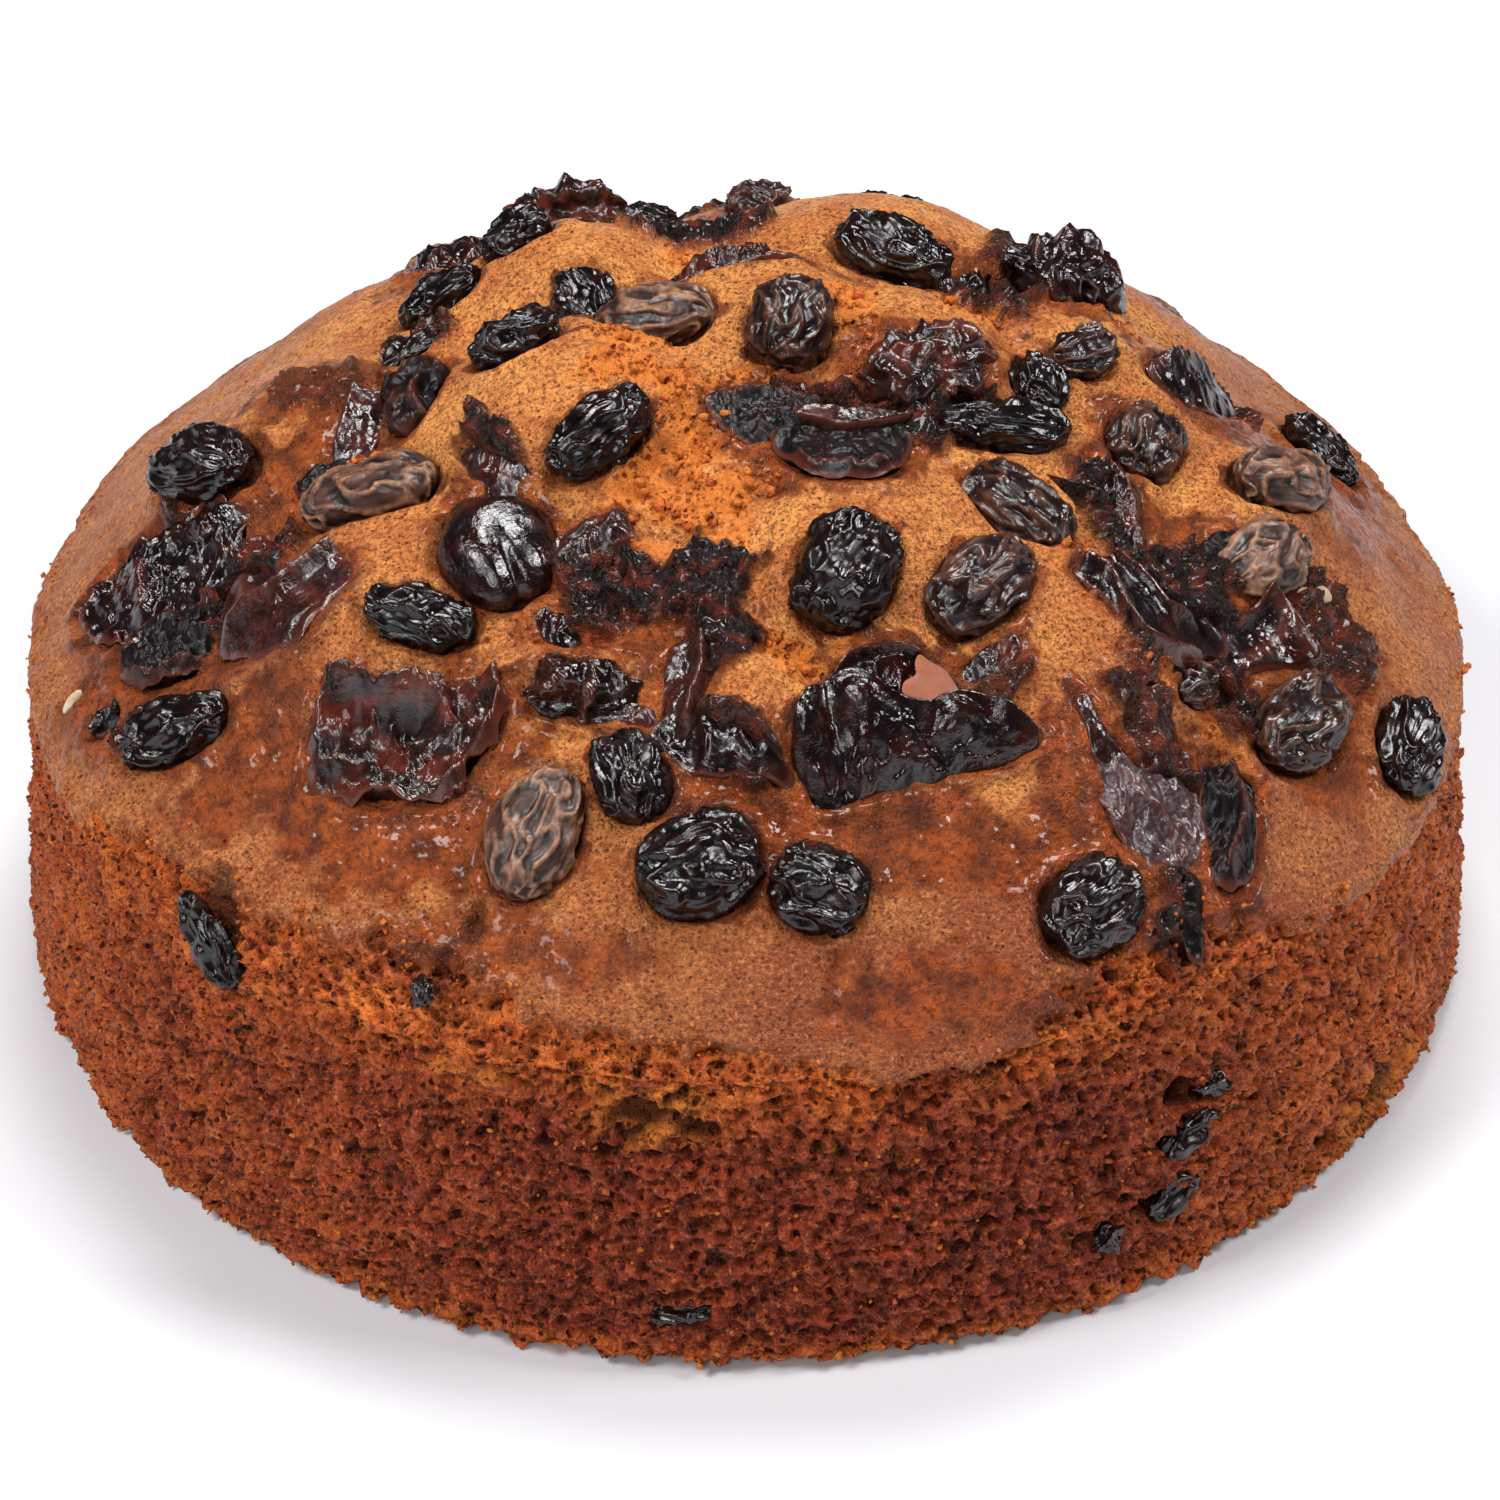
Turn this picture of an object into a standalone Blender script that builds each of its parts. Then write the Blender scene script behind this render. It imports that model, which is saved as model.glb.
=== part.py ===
"""A round fruit cake: a turned body with a domed, mounded top, and the raisins and pieces
of date that sit in it.

Metres, +Z up. The origin is on the table, under the middle of the cake. The front is at -Y.
Each topping lies in a pocket of its own in the crust, with a small gap all round it.
"""

import math
from collections import namedtuple

import bmesh
import bpy
from mathutils import Matrix, Vector, noise

MM = 0.001

# Cake body, a profile turned about Z
FOOT_RADIUS = 90.8 * MM
WALL_LEAN = 4.2 * MM
CROWN_RADIUS = 86.6 * MM
CROWN_BASE = 39.0 * MM
CROWN_RISE = 42.6 * MM
CROWN_POWER = 0.96
WALL_POWER = 1.5
FOOT_HEIGHT = 3.0 * MM
FOOT_INSET = 1.6 * MM
FOOT_ROUND = 0.3
TURN_STEPS = 36
CROWN_RINGS = 10
CROWN_SPACING = 0.9
WALL_RINGS = 1

# The outline is a little uneven: two even waves, so that opposite sides match
OUTLINE_WAVES = ((2, 0.007, 3.1), (4, 0.003, 1.9))

# Mounds of risen batter: x, y, radius and height in millimetres
MOUNDS = (
    (-22, -12, 18, 2.6),
    (-23, 22, 15, 2.8),
    (3, 4, 15, 2.4),
    (20, -1, 14, 2.2),
    (20, 33, 23, 3.2),
    (43, 9, 17, 2.6),
    (66, -4, 19, 1.8),
    (15, -36, 16, 2.0),
    (38, -43, 17, 2.8),
    (1, -55, 8, 1.2),
    (-45, -34, 17, 1.6),
    (-62, 6, 21, 2.6),
    (-50, 38, 20, 0.2),
    (48, 44, 20, 0.8),
    (8, 72, 22, 1.0),
)
CREASE_DEPTH = 3.4 * MM
CREASE_BLEND = 0.8 * MM
LOWEST_RISE = -40.0
FLAT_FROM = 66.0 * MM
FLAT_TO = 83.0 * MM

# Toppings
SLOPE_STEP = 3.0 * MM
POCKET_GAP = 0.5 * MM
POCKET_FLATTEN = math.radians(6.0)
MERGE = 0.00001
RAISIN_SEGMENTS = 8
RAISIN_RINGS = 5
RAISIN_THICKNESS = 0.72
RAISIN_SINK = 0.36
RAISIN_NOISE = 1.3
RIDGE_DEPTH = 0.07
RAISIN_UNEVEN = 0.07
WALL_RAISIN_SINK = 1.6 * RAISIN_SINK
SKIN_THICKNESS = 1.3 * MM
SKIN_CELLS = (5, 3)
SKIN_NARROWING = 0.22
SKIN_SHORTENING = 0.1
SKIN_RUMPLE = 0.6 * MM
SKIN_NOISE = 2.1
PIECE_NOISE = 1.7
PIECE_NOISE_STEP = 2.3
HALF_SEGMENTS = 10
HALF_RINGS = 7
HALF_UNEVEN = 0.12
HALF_NOISE = 1.6

# Sizes in the tables are in millimetres, angles in degrees; a heading is turned from +X
Raisin = namedtuple("Raisin", "name x y heading length width")
DateSkin = namedtuple("DateSkin", "name x y heading length width curl rise taper bend lean depth")
DatePiece = namedtuple("DatePiece", "name x y heading length width height uneven depth")
DateHalf = namedtuple("DateHalf", "name x y heading length width height taper hollow depth")

RAISINS = (
    Raisin("raisin_black_01", -4.5, -68.2, 20, 13.8, 11.2),
    Raisin("raisin_black_02", 7.8, -70.2, -25, 10.8, 9.4),
    Raisin("raisin_black_03", -12.0, -59.4, 105, 10.6, 8.0),
    Raisin("raisin_black_04", 37.0, -68.0, 52, 12.8, 9.6),
    Raisin("raisin_black_05", 10.9, -41.4, 68, 14.2, 11.0),
    Raisin("raisin_black_06", -35.6, -39.8, -22, 13.2, 6.8),
    Raisin("raisin_black_07", -63.6, -38.4, 2, 14.6, 7.6),
    Raisin("raisin_black_08", -63.6, -2.0, -22, 17.6, 9.4),
    Raisin("raisin_black_09", -16.4, -21.8, 46, 14.4, 7.6),
    Raisin("raisin_black_10", -26.2, -3.8, 4, 11.4, 7.6),
    Raisin("raisin_black_11", -18.6, 8.6, 112, 9.0, 7.6),
    Raisin("raisin_black_12", 33.4, -4.2, 96, 7.8, 6.8),
    Raisin("raisin_black_13", 29.4, -12.6, 15, 17.0, 6.6),
    Raisin("raisin_black_14", 75.4, -33.6, 88, 13.6, 8.0),
    Raisin("raisin_black_15", 70.8, 18.4, -50, 12.6, 7.0),
    Raisin("raisin_black_16", -36.4, 20.0, -8, 12.6, 7.0),
    Raisin("raisin_black_17", 17.6, 17.2, -25, 15.0, 8.6),
    Raisin("raisin_black_18", -27.4, 23.6, 8, 9.6, 6.8),
    Raisin("raisin_black_19", 19.0, 70.0, 120, 12.4, 8.6),
    Raisin("raisin_black_20", -15.0, 74.5, 15, 12.8, 8.0),
    Raisin("raisin_brown_01", 25.6, -39.6, 50, 14.6, 9.2),
    Raisin("raisin_brown_02", 30.3, -25.6, -35, 14.4, 9.2),
    Raisin("raisin_brown_03", 5.2, -4.8, 80, 11.6, 9.8),
    Raisin("raisin_brown_04", 39.4, 1.4, 40, 9.2, 6.4),
    Raisin("raisin_brown_05", 46.0, -7.4, 76, 10.4, 8.8),
    Raisin("raisin_brown_06", 62.2, -38.8, 60, 15.6, 9.4),
    Raisin("raisin_brown_07", 1.8, 57.0, -30, 8.6, 7.0),
    Raisin("raisin_tan_01", -22.2, -63.4, 68, 15.0, 9.6),
    Raisin("raisin_tan_02", -42.2, -18.8, -10, 17.6, 9.2),
    Raisin("raisin_tan_03", -10.0, 0.4, -20, 15.2, 8.6),
    Raisin("raisin_tan_04", 62.2, -6.2, 24, 14.4, 8.0),
    Raisin("raisin_tan_05", 59.4, -18.4, 50, 13.0, 8.8),
    Raisin("raisin_tan_06", -39.0, 71.0, 20, 13.0, 8.2),
)

# A raisin in the wall: name, bearing from the front, height, lean from level, length, width
WALL_RAISIN = ("raisin_black_21", -42.5, 39.5, -52, 12.4, 5.6)

# Curled pieces of date skin: their cross section curls, their ends rise, they taper along
# their length, bend in plan and lean about their long axis
DATE_SKINS = (
    DateSkin("date_skin_01", -5.6, -51.2, 84, 14.5, 7.0, 78, 0.6, 0.2, 14, 12, 1.6),
    DateSkin("date_skin_02", -37.2, -52.0, -13, 21.5, 17.0, 52, 2.6, 0.0, 0, -4, 2.6),
    DateSkin("date_skin_03", 3.4, -16.4, -12, 14.5, 10.0, 40, 1.2, 0.2, 8, 0, 1.2),
    DateSkin("date_skin_04", 10.8, -24.8, 9, 16.6, 8.8, 26, 0.8, 0.1, 0, 8, 1.4),
    DateSkin("date_skin_05", 42.4, -18.2, -80, 11.6, 5.4, 62, 0.5, 0.3, 10, 0, 1.2),
    DateSkin("date_skin_06", 44.0, -35.4, -46, 15.5, 9.6, 74, 1.0, 0.1, 16, 18, 2.2),
    DateSkin("date_skin_07", 58.2, -30.0, 46, 15.8, 9.0, 74, 1.0, 0.2, 12, 14, 2.0),
    DateSkin("date_skin_08", 44.2, -55.8, -72, 16.0, 11.0, 48, 0.8, 0.4, 8, 0, 1.6),
    DateSkin("date_skin_09", 53.8, 8.4, 26, 16.8, 9.2, 66, 1.0, 0.2, 0, 8, 1.6),
    DateSkin("date_skin_10", -2.0, 8.6, 4, 18.0, 5.2, 58, 0.4, 0.3, 10, 0, 1.0),
    DateSkin("date_skin_11", -45.4, -4.6, 82, 12.0, 6.6, 56, 0.6, 0.1, 0, 10, 1.2),
    DateSkin("date_skin_12", -67.2, -12.8, 136, 16.6, 14.0, 46, 0.8, 0.2, 0, 0, 1.6),
    DateSkin("date_skin_13", -64.8, -27.4, 172, 13.0, 9.0, 42, 0.8, 0.2, 0, 0, 1.4),
    DateSkin("date_skin_14", -50.8, -31.4, 20, 16.4, 8.6, 72, 1.0, 0.1, 0, 16, 1.6),
    DateSkin("date_skin_15", 38.0, 68.0, 140, 16.0, 11.0, 60, 1.4, 0.2, 10, 0, 2.8),
)

# Solid pieces of date
DATE_PIECES = (
    DatePiece("date_piece_01", -17.4, -50.2, -14, 12.6, 6.2, 5.0, 0.22, 1.8),
    DatePiece("date_piece_02", 20.6, -9.2, 22, 15.6, 9.0, 5.2, 0.26, 2.0),
    DatePiece("date_piece_03", 52.6, -53.8, 86, 15.6, 6.0, 6.0, 0.20, 2.0),
    DatePiece("date_piece_04", 37.0, 18.6, 40, 17.4, 13.0, 8.6, 0.26, 2.4),
    DatePiece("date_piece_05", -22.6, 47.5, 4, 14.6, 8.4, 9.0, 0.28, 2.2),
    DatePiece("date_piece_06", -37.8, -2.0, 84, 14.0, 6.4, 5.0, 0.24, 1.8),
    DatePiece("date_piece_07", -36.6, 39.6, 15, 11.0, 8.6, 5.0, 0.24, 3.0),
    DatePiece("date_piece_08", 3.0, 80.0, -10, 15.0, 9.6, 6.0, 0.24, 2.4),
)

# Halves of dates, skin side up; the hollow is a share of the height
DATE_HALVES = (
    DateHalf("date_half_01", 16.8, -56.4, 3, 27.5, 19.0, 13.0, 0.38, 0.5, 4.4),
    DateHalf("date_half_02", -27.2, -32.4, -58, 16.4, 13.4, 8.4, 0.1, 0.0, 2.8),
)
HOLLOW_TOWARDS = (-0.1, 0.5, 0.86)
HOLLOW_SPREAD = 0.55


def collection(name):
    made = bpy.data.collections.new(name)
    bpy.context.scene.collection.children.link(made)
    return made


def material(name, colour, roughness):
    made = bpy.data.materials.new(name)
    made.use_nodes = True
    shader = made.node_tree.nodes["Principled BSDF"]
    shader.inputs["Base Color"].default_value = (*colour, 1.0)
    shader.inputs["Roughness"].default_value = roughness
    shader.inputs["Metallic"].default_value = 0.0
    return made


def smoothstep(low, high, value):
    share = min(max((value - low) / (high - low), 0.0), 1.0)
    return share * share * (3.0 - 2.0 * share)


def outline(angle):
    """Radius factor of the uneven outline at an angle about Z."""
    return 1.0 + sum(size * math.cos(count * angle + shift) for count, size, shift in OUTLINE_WAVES)


def crown(radius):
    """Height of the smooth dome at a distance from the axis."""
    inside = max(1.0 - (radius / CROWN_RADIUS) ** 2, 0.0)
    return CROWN_BASE + CROWN_RISE * inside ** CROWN_POWER


def relief(x, y):
    """Height that the mounds add to the dome: the soft maximum of one paraboloid a mound and
    a level floor, faded out towards the rim."""
    total = math.exp(-CREASE_DEPTH / CREASE_BLEND)
    for mound_x, mound_y, reach, height in MOUNDS:
        away = math.hypot(x / MM - mound_x, y / MM - mound_y) / reach
        rise = height - (height + CREASE_DEPTH / MM) * away * away
        total += math.exp(max(rise, LOWEST_RISE) * MM / CREASE_BLEND)
    fade = 1.0 - smoothstep(FLAT_FROM, FLAT_TO, math.hypot(x, y))
    return fade * CREASE_BLEND * math.log(total)


def top_height(x, y):
    """Height of the top of the cake over a point of the plan."""
    radius = math.hypot(x, y) / outline(math.atan2(y, x))
    return crown(radius) + relief(x, y)


def wall_radius(height):
    """Radius of the wall at a height: nearly straight, a little narrower at the shoulder."""
    return FOOT_RADIUS - WALL_LEAN * (height / CROWN_BASE) ** WALL_POWER


def cake_profile():
    """The turned profile from the top of the axis, out and down the wall, to the base."""
    points = []
    for ring in range(CROWN_RINGS + 1):
        radius = CROWN_RADIUS * math.sin(0.5 * math.pi * ring / CROWN_RINGS) ** CROWN_SPACING
        points.append((radius, crown(radius)))
    for ring in range(1, WALL_RINGS + 1):
        height = CROWN_BASE + (FOOT_HEIGHT - CROWN_BASE) * ring / WALL_RINGS
        points.append((wall_radius(height), height))
    points.append((FOOT_RADIUS - FOOT_ROUND * FOOT_INSET, FOOT_ROUND * FOOT_HEIGHT))
    points.append((FOOT_RADIUS - FOOT_INSET, 0.0))
    points.append((0.0, 0.0))
    return points


def evaluated_mesh(thing):
    """A mesh of what an object's modifiers make of it."""
    depsgraph = bpy.context.evaluated_depsgraph_get()
    return bpy.data.meshes.new_from_object(thing.evaluated_get(depsgraph))


def turned_body(group, finish):
    """The cake body: the profile turned with Screw, then its outline and its top made uneven."""
    points = cake_profile()
    mesh = bpy.data.meshes.new("cake_profile")
    edges = [(index, index + 1) for index in range(len(points) - 1)]
    mesh.from_pydata([(radius, 0.0, height) for radius, height in points], edges, [])
    profile = bpy.data.objects.new("cake_profile", mesh)
    group.objects.link(profile)
    turn = profile.modifiers.new("turn", "SCREW")
    turn.axis = "Z"
    turn.steps = TURN_STEPS
    turn.render_steps = TURN_STEPS
    turn.use_merge_vertices = True
    turn.merge_threshold = MERGE
    turned = evaluated_mesh(profile)
    bpy.data.objects.remove(profile)
    bpy.data.meshes.remove(mesh)
    for vertex in turned.vertices:
        x, y, z = vertex.co
        factor = outline(math.atan2(y, x))
        on_top = z >= CROWN_BASE - MERGE
        vertex.co.x = x * factor
        vertex.co.y = y * factor
        if on_top:
            vertex.co.z = z + relief(x * factor, y * factor)
    body = bpy.data.objects.new("cake", turned)
    turned.name = "cake"
    turned.materials.clear()
    turned.materials.append(finish)
    group.objects.link(body)
    return body


def seat_on_top(x, y, heading):
    """A matrix on the top surface: X along the heading, Z out of the surface."""
    slope_x = (top_height(x + SLOPE_STEP, y) - top_height(x - SLOPE_STEP, y)) / (2.0 * SLOPE_STEP)
    slope_y = (top_height(x, y + SLOPE_STEP) - top_height(x, y - SLOPE_STEP)) / (2.0 * SLOPE_STEP)
    out = Vector((-slope_x, -slope_y, 1.0)).normalized()
    along = Vector((math.cos(heading), math.sin(heading), 0.0))
    return seat(Vector((x, y, top_height(x, y))), out, along)


def seat_on_wall(bearing, height, lean):
    """A matrix on the wall: Z out of it, X level and then leaned."""
    out = Vector((math.sin(bearing), -math.cos(bearing), 0.0))
    level = Vector((math.cos(bearing), math.sin(bearing), 0.0))
    along = level * math.cos(lean) + Vector((0.0, 0.0, math.sin(lean)))
    radius = wall_radius(height) * outline(math.atan2(out.y, out.x))
    return seat(out * radius + Vector((0.0, 0.0, height)), out, along)


def seat(point, out, along):
    across = out.cross(along).normalized()
    along = across.cross(out)
    turn = Matrix((along, across, out)).transposed().to_4x4()
    return Matrix.Translation(point) @ turn


def raisin_shape(length, width, seed):
    """A sphere with its poles on X, drawn out to the raisin's sizes. Every other meridian
    stands in, as wrinkles along it, and a slow noise makes the shape uneven."""
    shape = bmesh.new()
    bmesh.ops.create_uvsphere(shape, u_segments=RAISIN_SEGMENTS, v_segments=RAISIN_RINGS, radius=1.0)
    bmesh.ops.rotate(shape, matrix=Matrix.Rotation(math.pi / 2.0, 3, "Y"), verts=shape.verts)
    for vertex in shape.verts:
        x, y, z = vertex.co
        sector = math.atan2(z, y) / (2.0 * math.pi) * RAISIN_SEGMENTS
        ridge = 1.0 + RIDGE_DEPTH * math.cos(math.pi * sector)
        spot = Vector((x, y, z)) * RAISIN_NOISE + Vector((seed, 0.0, 0.0))
        uneven = 1.0 + RAISIN_UNEVEN * noise.noise(spot)
        vertex.co = (
            0.5 * length * x * uneven,
            0.5 * width * y * ridge * uneven,
            0.5 * width * RAISIN_THICKNESS * z * ridge * uneven,
        )
    return shape


def pulp_shape(length, width, height, uneven, seed):
    """A lumpy solid piece: an icosphere drawn out to the piece's sizes, with noise in two
    scales along its own directions."""
    shape = bmesh.new()
    bmesh.ops.create_icosphere(shape, subdivisions=2, radius=1.0)
    for vertex in shape.verts:
        spot = vertex.co * PIECE_NOISE + Vector((seed, seed, 0.0))
        lumps = noise.noise(spot) + 0.5 * noise.noise(spot * PIECE_NOISE_STEP)
        factor = 1.0 + uneven * lumps
        x, y, z = vertex.co * factor
        vertex.co = (0.5 * length * x, 0.5 * width * y, 0.5 * height * z)
    return shape


def half_shape(length, width, height, taper, hollow, seed):
    """Half a date, skin side up: a sphere with its poles on X, narrowed towards +X, slightly
    creased, with an opening pressed into its top where it was stoned."""
    shape = bmesh.new()
    bmesh.ops.create_uvsphere(shape, u_segments=HALF_SEGMENTS, v_segments=HALF_RINGS, radius=1.0)
    bmesh.ops.rotate(shape, matrix=Matrix.Rotation(math.pi / 2.0, 3, "Y"), verts=shape.verts)
    opening = Vector(HOLLOW_TOWARDS).normalized()
    for vertex in shape.verts:
        away = (vertex.co - opening).length / HOLLOW_SPREAD
        pressed = hollow * math.exp(-away ** 4)
        uneven = 1.0 + HALF_UNEVEN * noise.noise(vertex.co * HALF_NOISE + Vector((seed, 0.0, seed)))
        x, y, z = vertex.co * uneven
        narrow = 1.0 - taper * (0.5 + 0.5 * x)
        z -= 2.0 * pressed
        vertex.co = (0.5 * length * x, 0.5 * width * y * narrow, 0.5 * height * z * narrow)
    return shape


def skin_shape(length, width, curl, end_rise, taper, bend, lean, seed):
    """A curled sheet of date skin. Its cross section is an arc of twice the curl, its ends
    rise, it narrows along its length, bends in plan and leans about its long axis."""
    shape = bmesh.new()
    cells_x, cells_y = SKIN_CELLS
    bmesh.ops.create_grid(shape, x_segments=cells_x, y_segments=cells_y, size=1.0)
    leaned = Matrix.Rotation(lean, 3, "X")
    for vertex in shape.verts:
        u, v, _ = vertex.co
        half = 0.5 * width * (1.0 - 0.5 * taper * (1.0 + u)) * (1.0 - SKIN_NARROWING * u ** 4)
        radius = half / curl
        turn = curl * v
        y = radius * math.sin(turn)
        z = radius * (1.0 - math.cos(turn))
        x = 0.5 * length * u * (1.0 - SKIN_SHORTENING * v * v)
        z += end_rise * u * u
        z += SKIN_RUMPLE * noise.noise(Vector((SKIN_NOISE * u, SKIN_NOISE * v, seed)))
        swing = Matrix.Rotation(bend * u, 3, "Z")
        vertex.co = leaned @ (swing @ Vector((x, y, z)))
    return shape


def place(name, shape, group, finish, matrix, depth):
    """Make an object of a shape, with its lowest point a depth below its seat."""
    mesh = bpy.data.meshes.new(name)
    bmesh.ops.recalc_face_normals(shape, faces=shape.faces)
    shape.to_mesh(mesh)
    shape.free()
    lowest = min(vertex.co.z for vertex in mesh.vertices)
    mesh.transform(Matrix.Translation((0.0, 0.0, -lowest - depth)))
    mesh.materials.append(finish)
    mesh.shade_smooth()
    thing = bpy.data.objects.new(name, mesh)
    thing.matrix_world = matrix
    group.objects.link(thing)
    return thing


def thicken(thing):
    """Give a sheet of skin its thickness."""
    wall = thing.modifiers.new("thickness", "SOLIDIFY")
    wall.thickness = SKIN_THICKNESS
    wall.offset = 0.0


def cut_pocket(thing, group):
    """A cutter for a topping's pocket: the convex hull of the topping, grown by the gap."""
    mesh = evaluated_mesh(thing)
    shape = bmesh.new()
    shape.from_mesh(mesh)
    hull = bmesh.ops.convex_hull(shape, input=shape.verts)
    within = set(hull["geom_interior"] + hull["geom_unused"])
    inner = [vertex for vertex in shape.verts if vertex in within]
    bmesh.ops.delete(shape, geom=inner, context="VERTS")
    outer = set(hull["geom"])
    old = [face for face in shape.faces if face not in outer]
    bmesh.ops.delete(shape, geom=old, context="FACES_ONLY")
    bmesh.ops.recalc_face_normals(shape, faces=shape.faces)
    bmesh.ops.dissolve_limit(shape, angle_limit=POCKET_FLATTEN, verts=shape.verts, edges=shape.edges)
    shape.normal_update()
    moved = [(vertex, vertex.co + vertex.normal * POCKET_GAP) for vertex in shape.verts]
    for vertex, target in moved:
        vertex.co = target
    shape.to_mesh(mesh)
    shape.free()
    mesh.materials.clear()
    cutter = bpy.data.objects.new("pocket_" + thing.name, mesh)
    cutter.matrix_world = thing.matrix_world
    cutter.hide_render = True
    cutter.display_type = "WIRE"
    group.objects.link(cutter)


def add_raisins(group, finishes):
    made = []
    for seed, raisin in enumerate(RAISINS):
        shape = raisin_shape(raisin.length * MM, raisin.width * MM, 3.7 * seed)
        matrix = seat_on_top(raisin.x * MM, raisin.y * MM, math.radians(raisin.heading))
        finish = finishes[raisin.name.rsplit("_", 1)[0]]
        depth = RAISIN_SINK * RAISIN_THICKNESS * raisin.width * MM
        made.append(place(raisin.name, shape, group, finish, matrix, depth))
    name, bearing, height, lean, length, width = WALL_RAISIN
    shape = raisin_shape(length * MM, width * MM, 3.7 * len(RAISINS))
    matrix = seat_on_wall(math.radians(bearing), height * MM, math.radians(lean))
    depth = WALL_RAISIN_SINK * RAISIN_THICKNESS * width * MM
    made.append(place(name, shape, group, finishes["raisin_black"], matrix, depth))
    return made


def add_dates(group, finish):
    made = []
    for seed, skin in enumerate(DATE_SKINS):
        shape = skin_shape(
            skin.length * MM,
            skin.width * MM,
            math.radians(skin.curl),
            skin.rise * MM,
            skin.taper,
            math.radians(skin.bend),
            math.radians(skin.lean),
            5.3 * seed,
        )
        matrix = seat_on_top(skin.x * MM, skin.y * MM, math.radians(skin.heading))
        sheet = place(skin.name, shape, group, finish, matrix, skin.depth * MM)
        thicken(sheet)
        made.append(sheet)
    for seed, piece in enumerate(DATE_PIECES):
        sizes = (piece.length * MM, piece.width * MM, piece.height * MM)
        shape = pulp_shape(*sizes, piece.uneven, 4.1 * seed)
        matrix = seat_on_top(piece.x * MM, piece.y * MM, math.radians(piece.heading))
        made.append(place(piece.name, shape, group, finish, matrix, piece.depth * MM))
    for seed, half in enumerate(DATE_HALVES):
        sizes = (half.length * MM, half.width * MM, half.height * MM)
        shape = half_shape(*sizes, half.taper, half.hollow, 2.9 * seed)
        matrix = seat_on_top(half.x * MM, half.y * MM, math.radians(half.heading))
        made.append(place(half.name, shape, group, finish, matrix, half.depth * MM))
    return made


def build():
    for thing in list(bpy.data.objects):
        bpy.data.objects.remove(thing)
    parts = collection("fruit_cake")
    pockets = collection("fruit_cake_pockets")
    crust = material("baked_crust", (0.46, 0.19, 0.06), 0.6)
    finishes = {
        "raisin_black": material("black_raisin", (0.018, 0.013, 0.014), 0.35),
        "raisin_brown": material("brown_raisin", (0.07, 0.03, 0.02), 0.45),
        "raisin_tan": material("tan_raisin", (0.16, 0.08, 0.04), 0.6),
    }
    date = material("date", (0.05, 0.014, 0.009), 0.25)
    cake = turned_body(parts, crust)
    toppings = add_raisins(parts, finishes) + add_dates(parts, date)
    bpy.context.view_layer.update()
    for topping in toppings:
        cut_pocket(topping, pockets)
    cut = cake.modifiers.new("pockets", "BOOLEAN")
    cut.operation = "DIFFERENCE"
    cut.operand_type = "COLLECTION"
    cut.collection = pockets
    cut.solver = "EXACT"
    cake.data.shade_smooth()


build()
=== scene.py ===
import itertools

import bpy
import numpy as np
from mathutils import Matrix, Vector


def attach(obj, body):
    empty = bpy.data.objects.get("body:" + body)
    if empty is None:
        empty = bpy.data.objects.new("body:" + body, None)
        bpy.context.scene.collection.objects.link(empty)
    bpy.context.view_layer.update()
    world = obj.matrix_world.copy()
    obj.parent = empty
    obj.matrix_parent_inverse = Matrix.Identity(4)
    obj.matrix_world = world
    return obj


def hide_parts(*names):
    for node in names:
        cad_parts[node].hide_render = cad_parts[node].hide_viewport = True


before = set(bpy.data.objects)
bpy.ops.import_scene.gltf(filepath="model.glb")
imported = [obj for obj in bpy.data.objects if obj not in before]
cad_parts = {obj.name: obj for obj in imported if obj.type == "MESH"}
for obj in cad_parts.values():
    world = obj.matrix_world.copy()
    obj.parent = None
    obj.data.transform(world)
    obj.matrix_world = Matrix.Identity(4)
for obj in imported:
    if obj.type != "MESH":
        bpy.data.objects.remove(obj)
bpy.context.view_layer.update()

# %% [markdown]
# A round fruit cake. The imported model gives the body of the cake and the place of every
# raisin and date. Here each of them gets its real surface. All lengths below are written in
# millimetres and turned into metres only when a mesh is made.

MM = 0.001
NODES = sorted(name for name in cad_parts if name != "cake")
print("toppings in the frame:", len(NODES))

# %% [markdown]
# The camera looks down on the cake from the front. The floor is a plain pale sheet, and the
# light is that of a small studio: a soft box on each side, one above, one in front and a pale
# room. The glossy fruit mirrors the boxes as pale streaks.

# %% Camera
CAMERA_PLACE = Vector((0.0006, -0.4134, 0.3265))
CAMERA_AIM = Vector((0.0006, 0.0, 0.0178))
lens = bpy.data.cameras.new("camera")
lens.lens = 99.5
camera = bpy.data.objects.new("camera", lens)
camera.location = CAMERA_PLACE
camera.rotation_euler = (CAMERA_AIM - CAMERA_PLACE).to_track_quat("-Z", "Y").to_euler()
bpy.context.scene.collection.objects.link(camera)
bpy.context.scene.camera = camera
bpy.context.scene.view_settings.view_transform = "Standard"

# %% Light
def soft_box(name, place, size, power, colour=(1.0, 1.0, 1.0)):
    """A square area light of a size in metres, turned towards the middle of the cake."""
    light = bpy.data.lights.new(name, "AREA")
    light.size = size
    light.energy = power
    light.color = colour
    thing = bpy.data.objects.new(name, light)
    thing.location = place
    thing.rotation_euler = (Vector((0.0, 0.0, 0.04)) - Vector(place)).to_track_quat("-Z", "Y").to_euler()
    bpy.context.scene.collection.objects.link(thing)


soft_box("box_left", (-0.52, -0.28, 0.72), 0.30, 4.8)
soft_box("box_right", (0.60, -0.05, 0.66), 0.22, 3.6)
soft_box("box_above", (0.05, 0.34, 0.95), 0.34, 6.4)
soft_box("box_front", (-0.16, -0.77, 0.62), 0.33, 2.5)

room = bpy.data.worlds.new("room")
room.use_nodes = True
room.node_tree.nodes["Background"].inputs["Color"].default_value = (0.93, 0.95, 1.0, 1.0)
room.node_tree.nodes["Background"].inputs["Strength"].default_value = 0.06
bpy.context.scene.world = room

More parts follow.
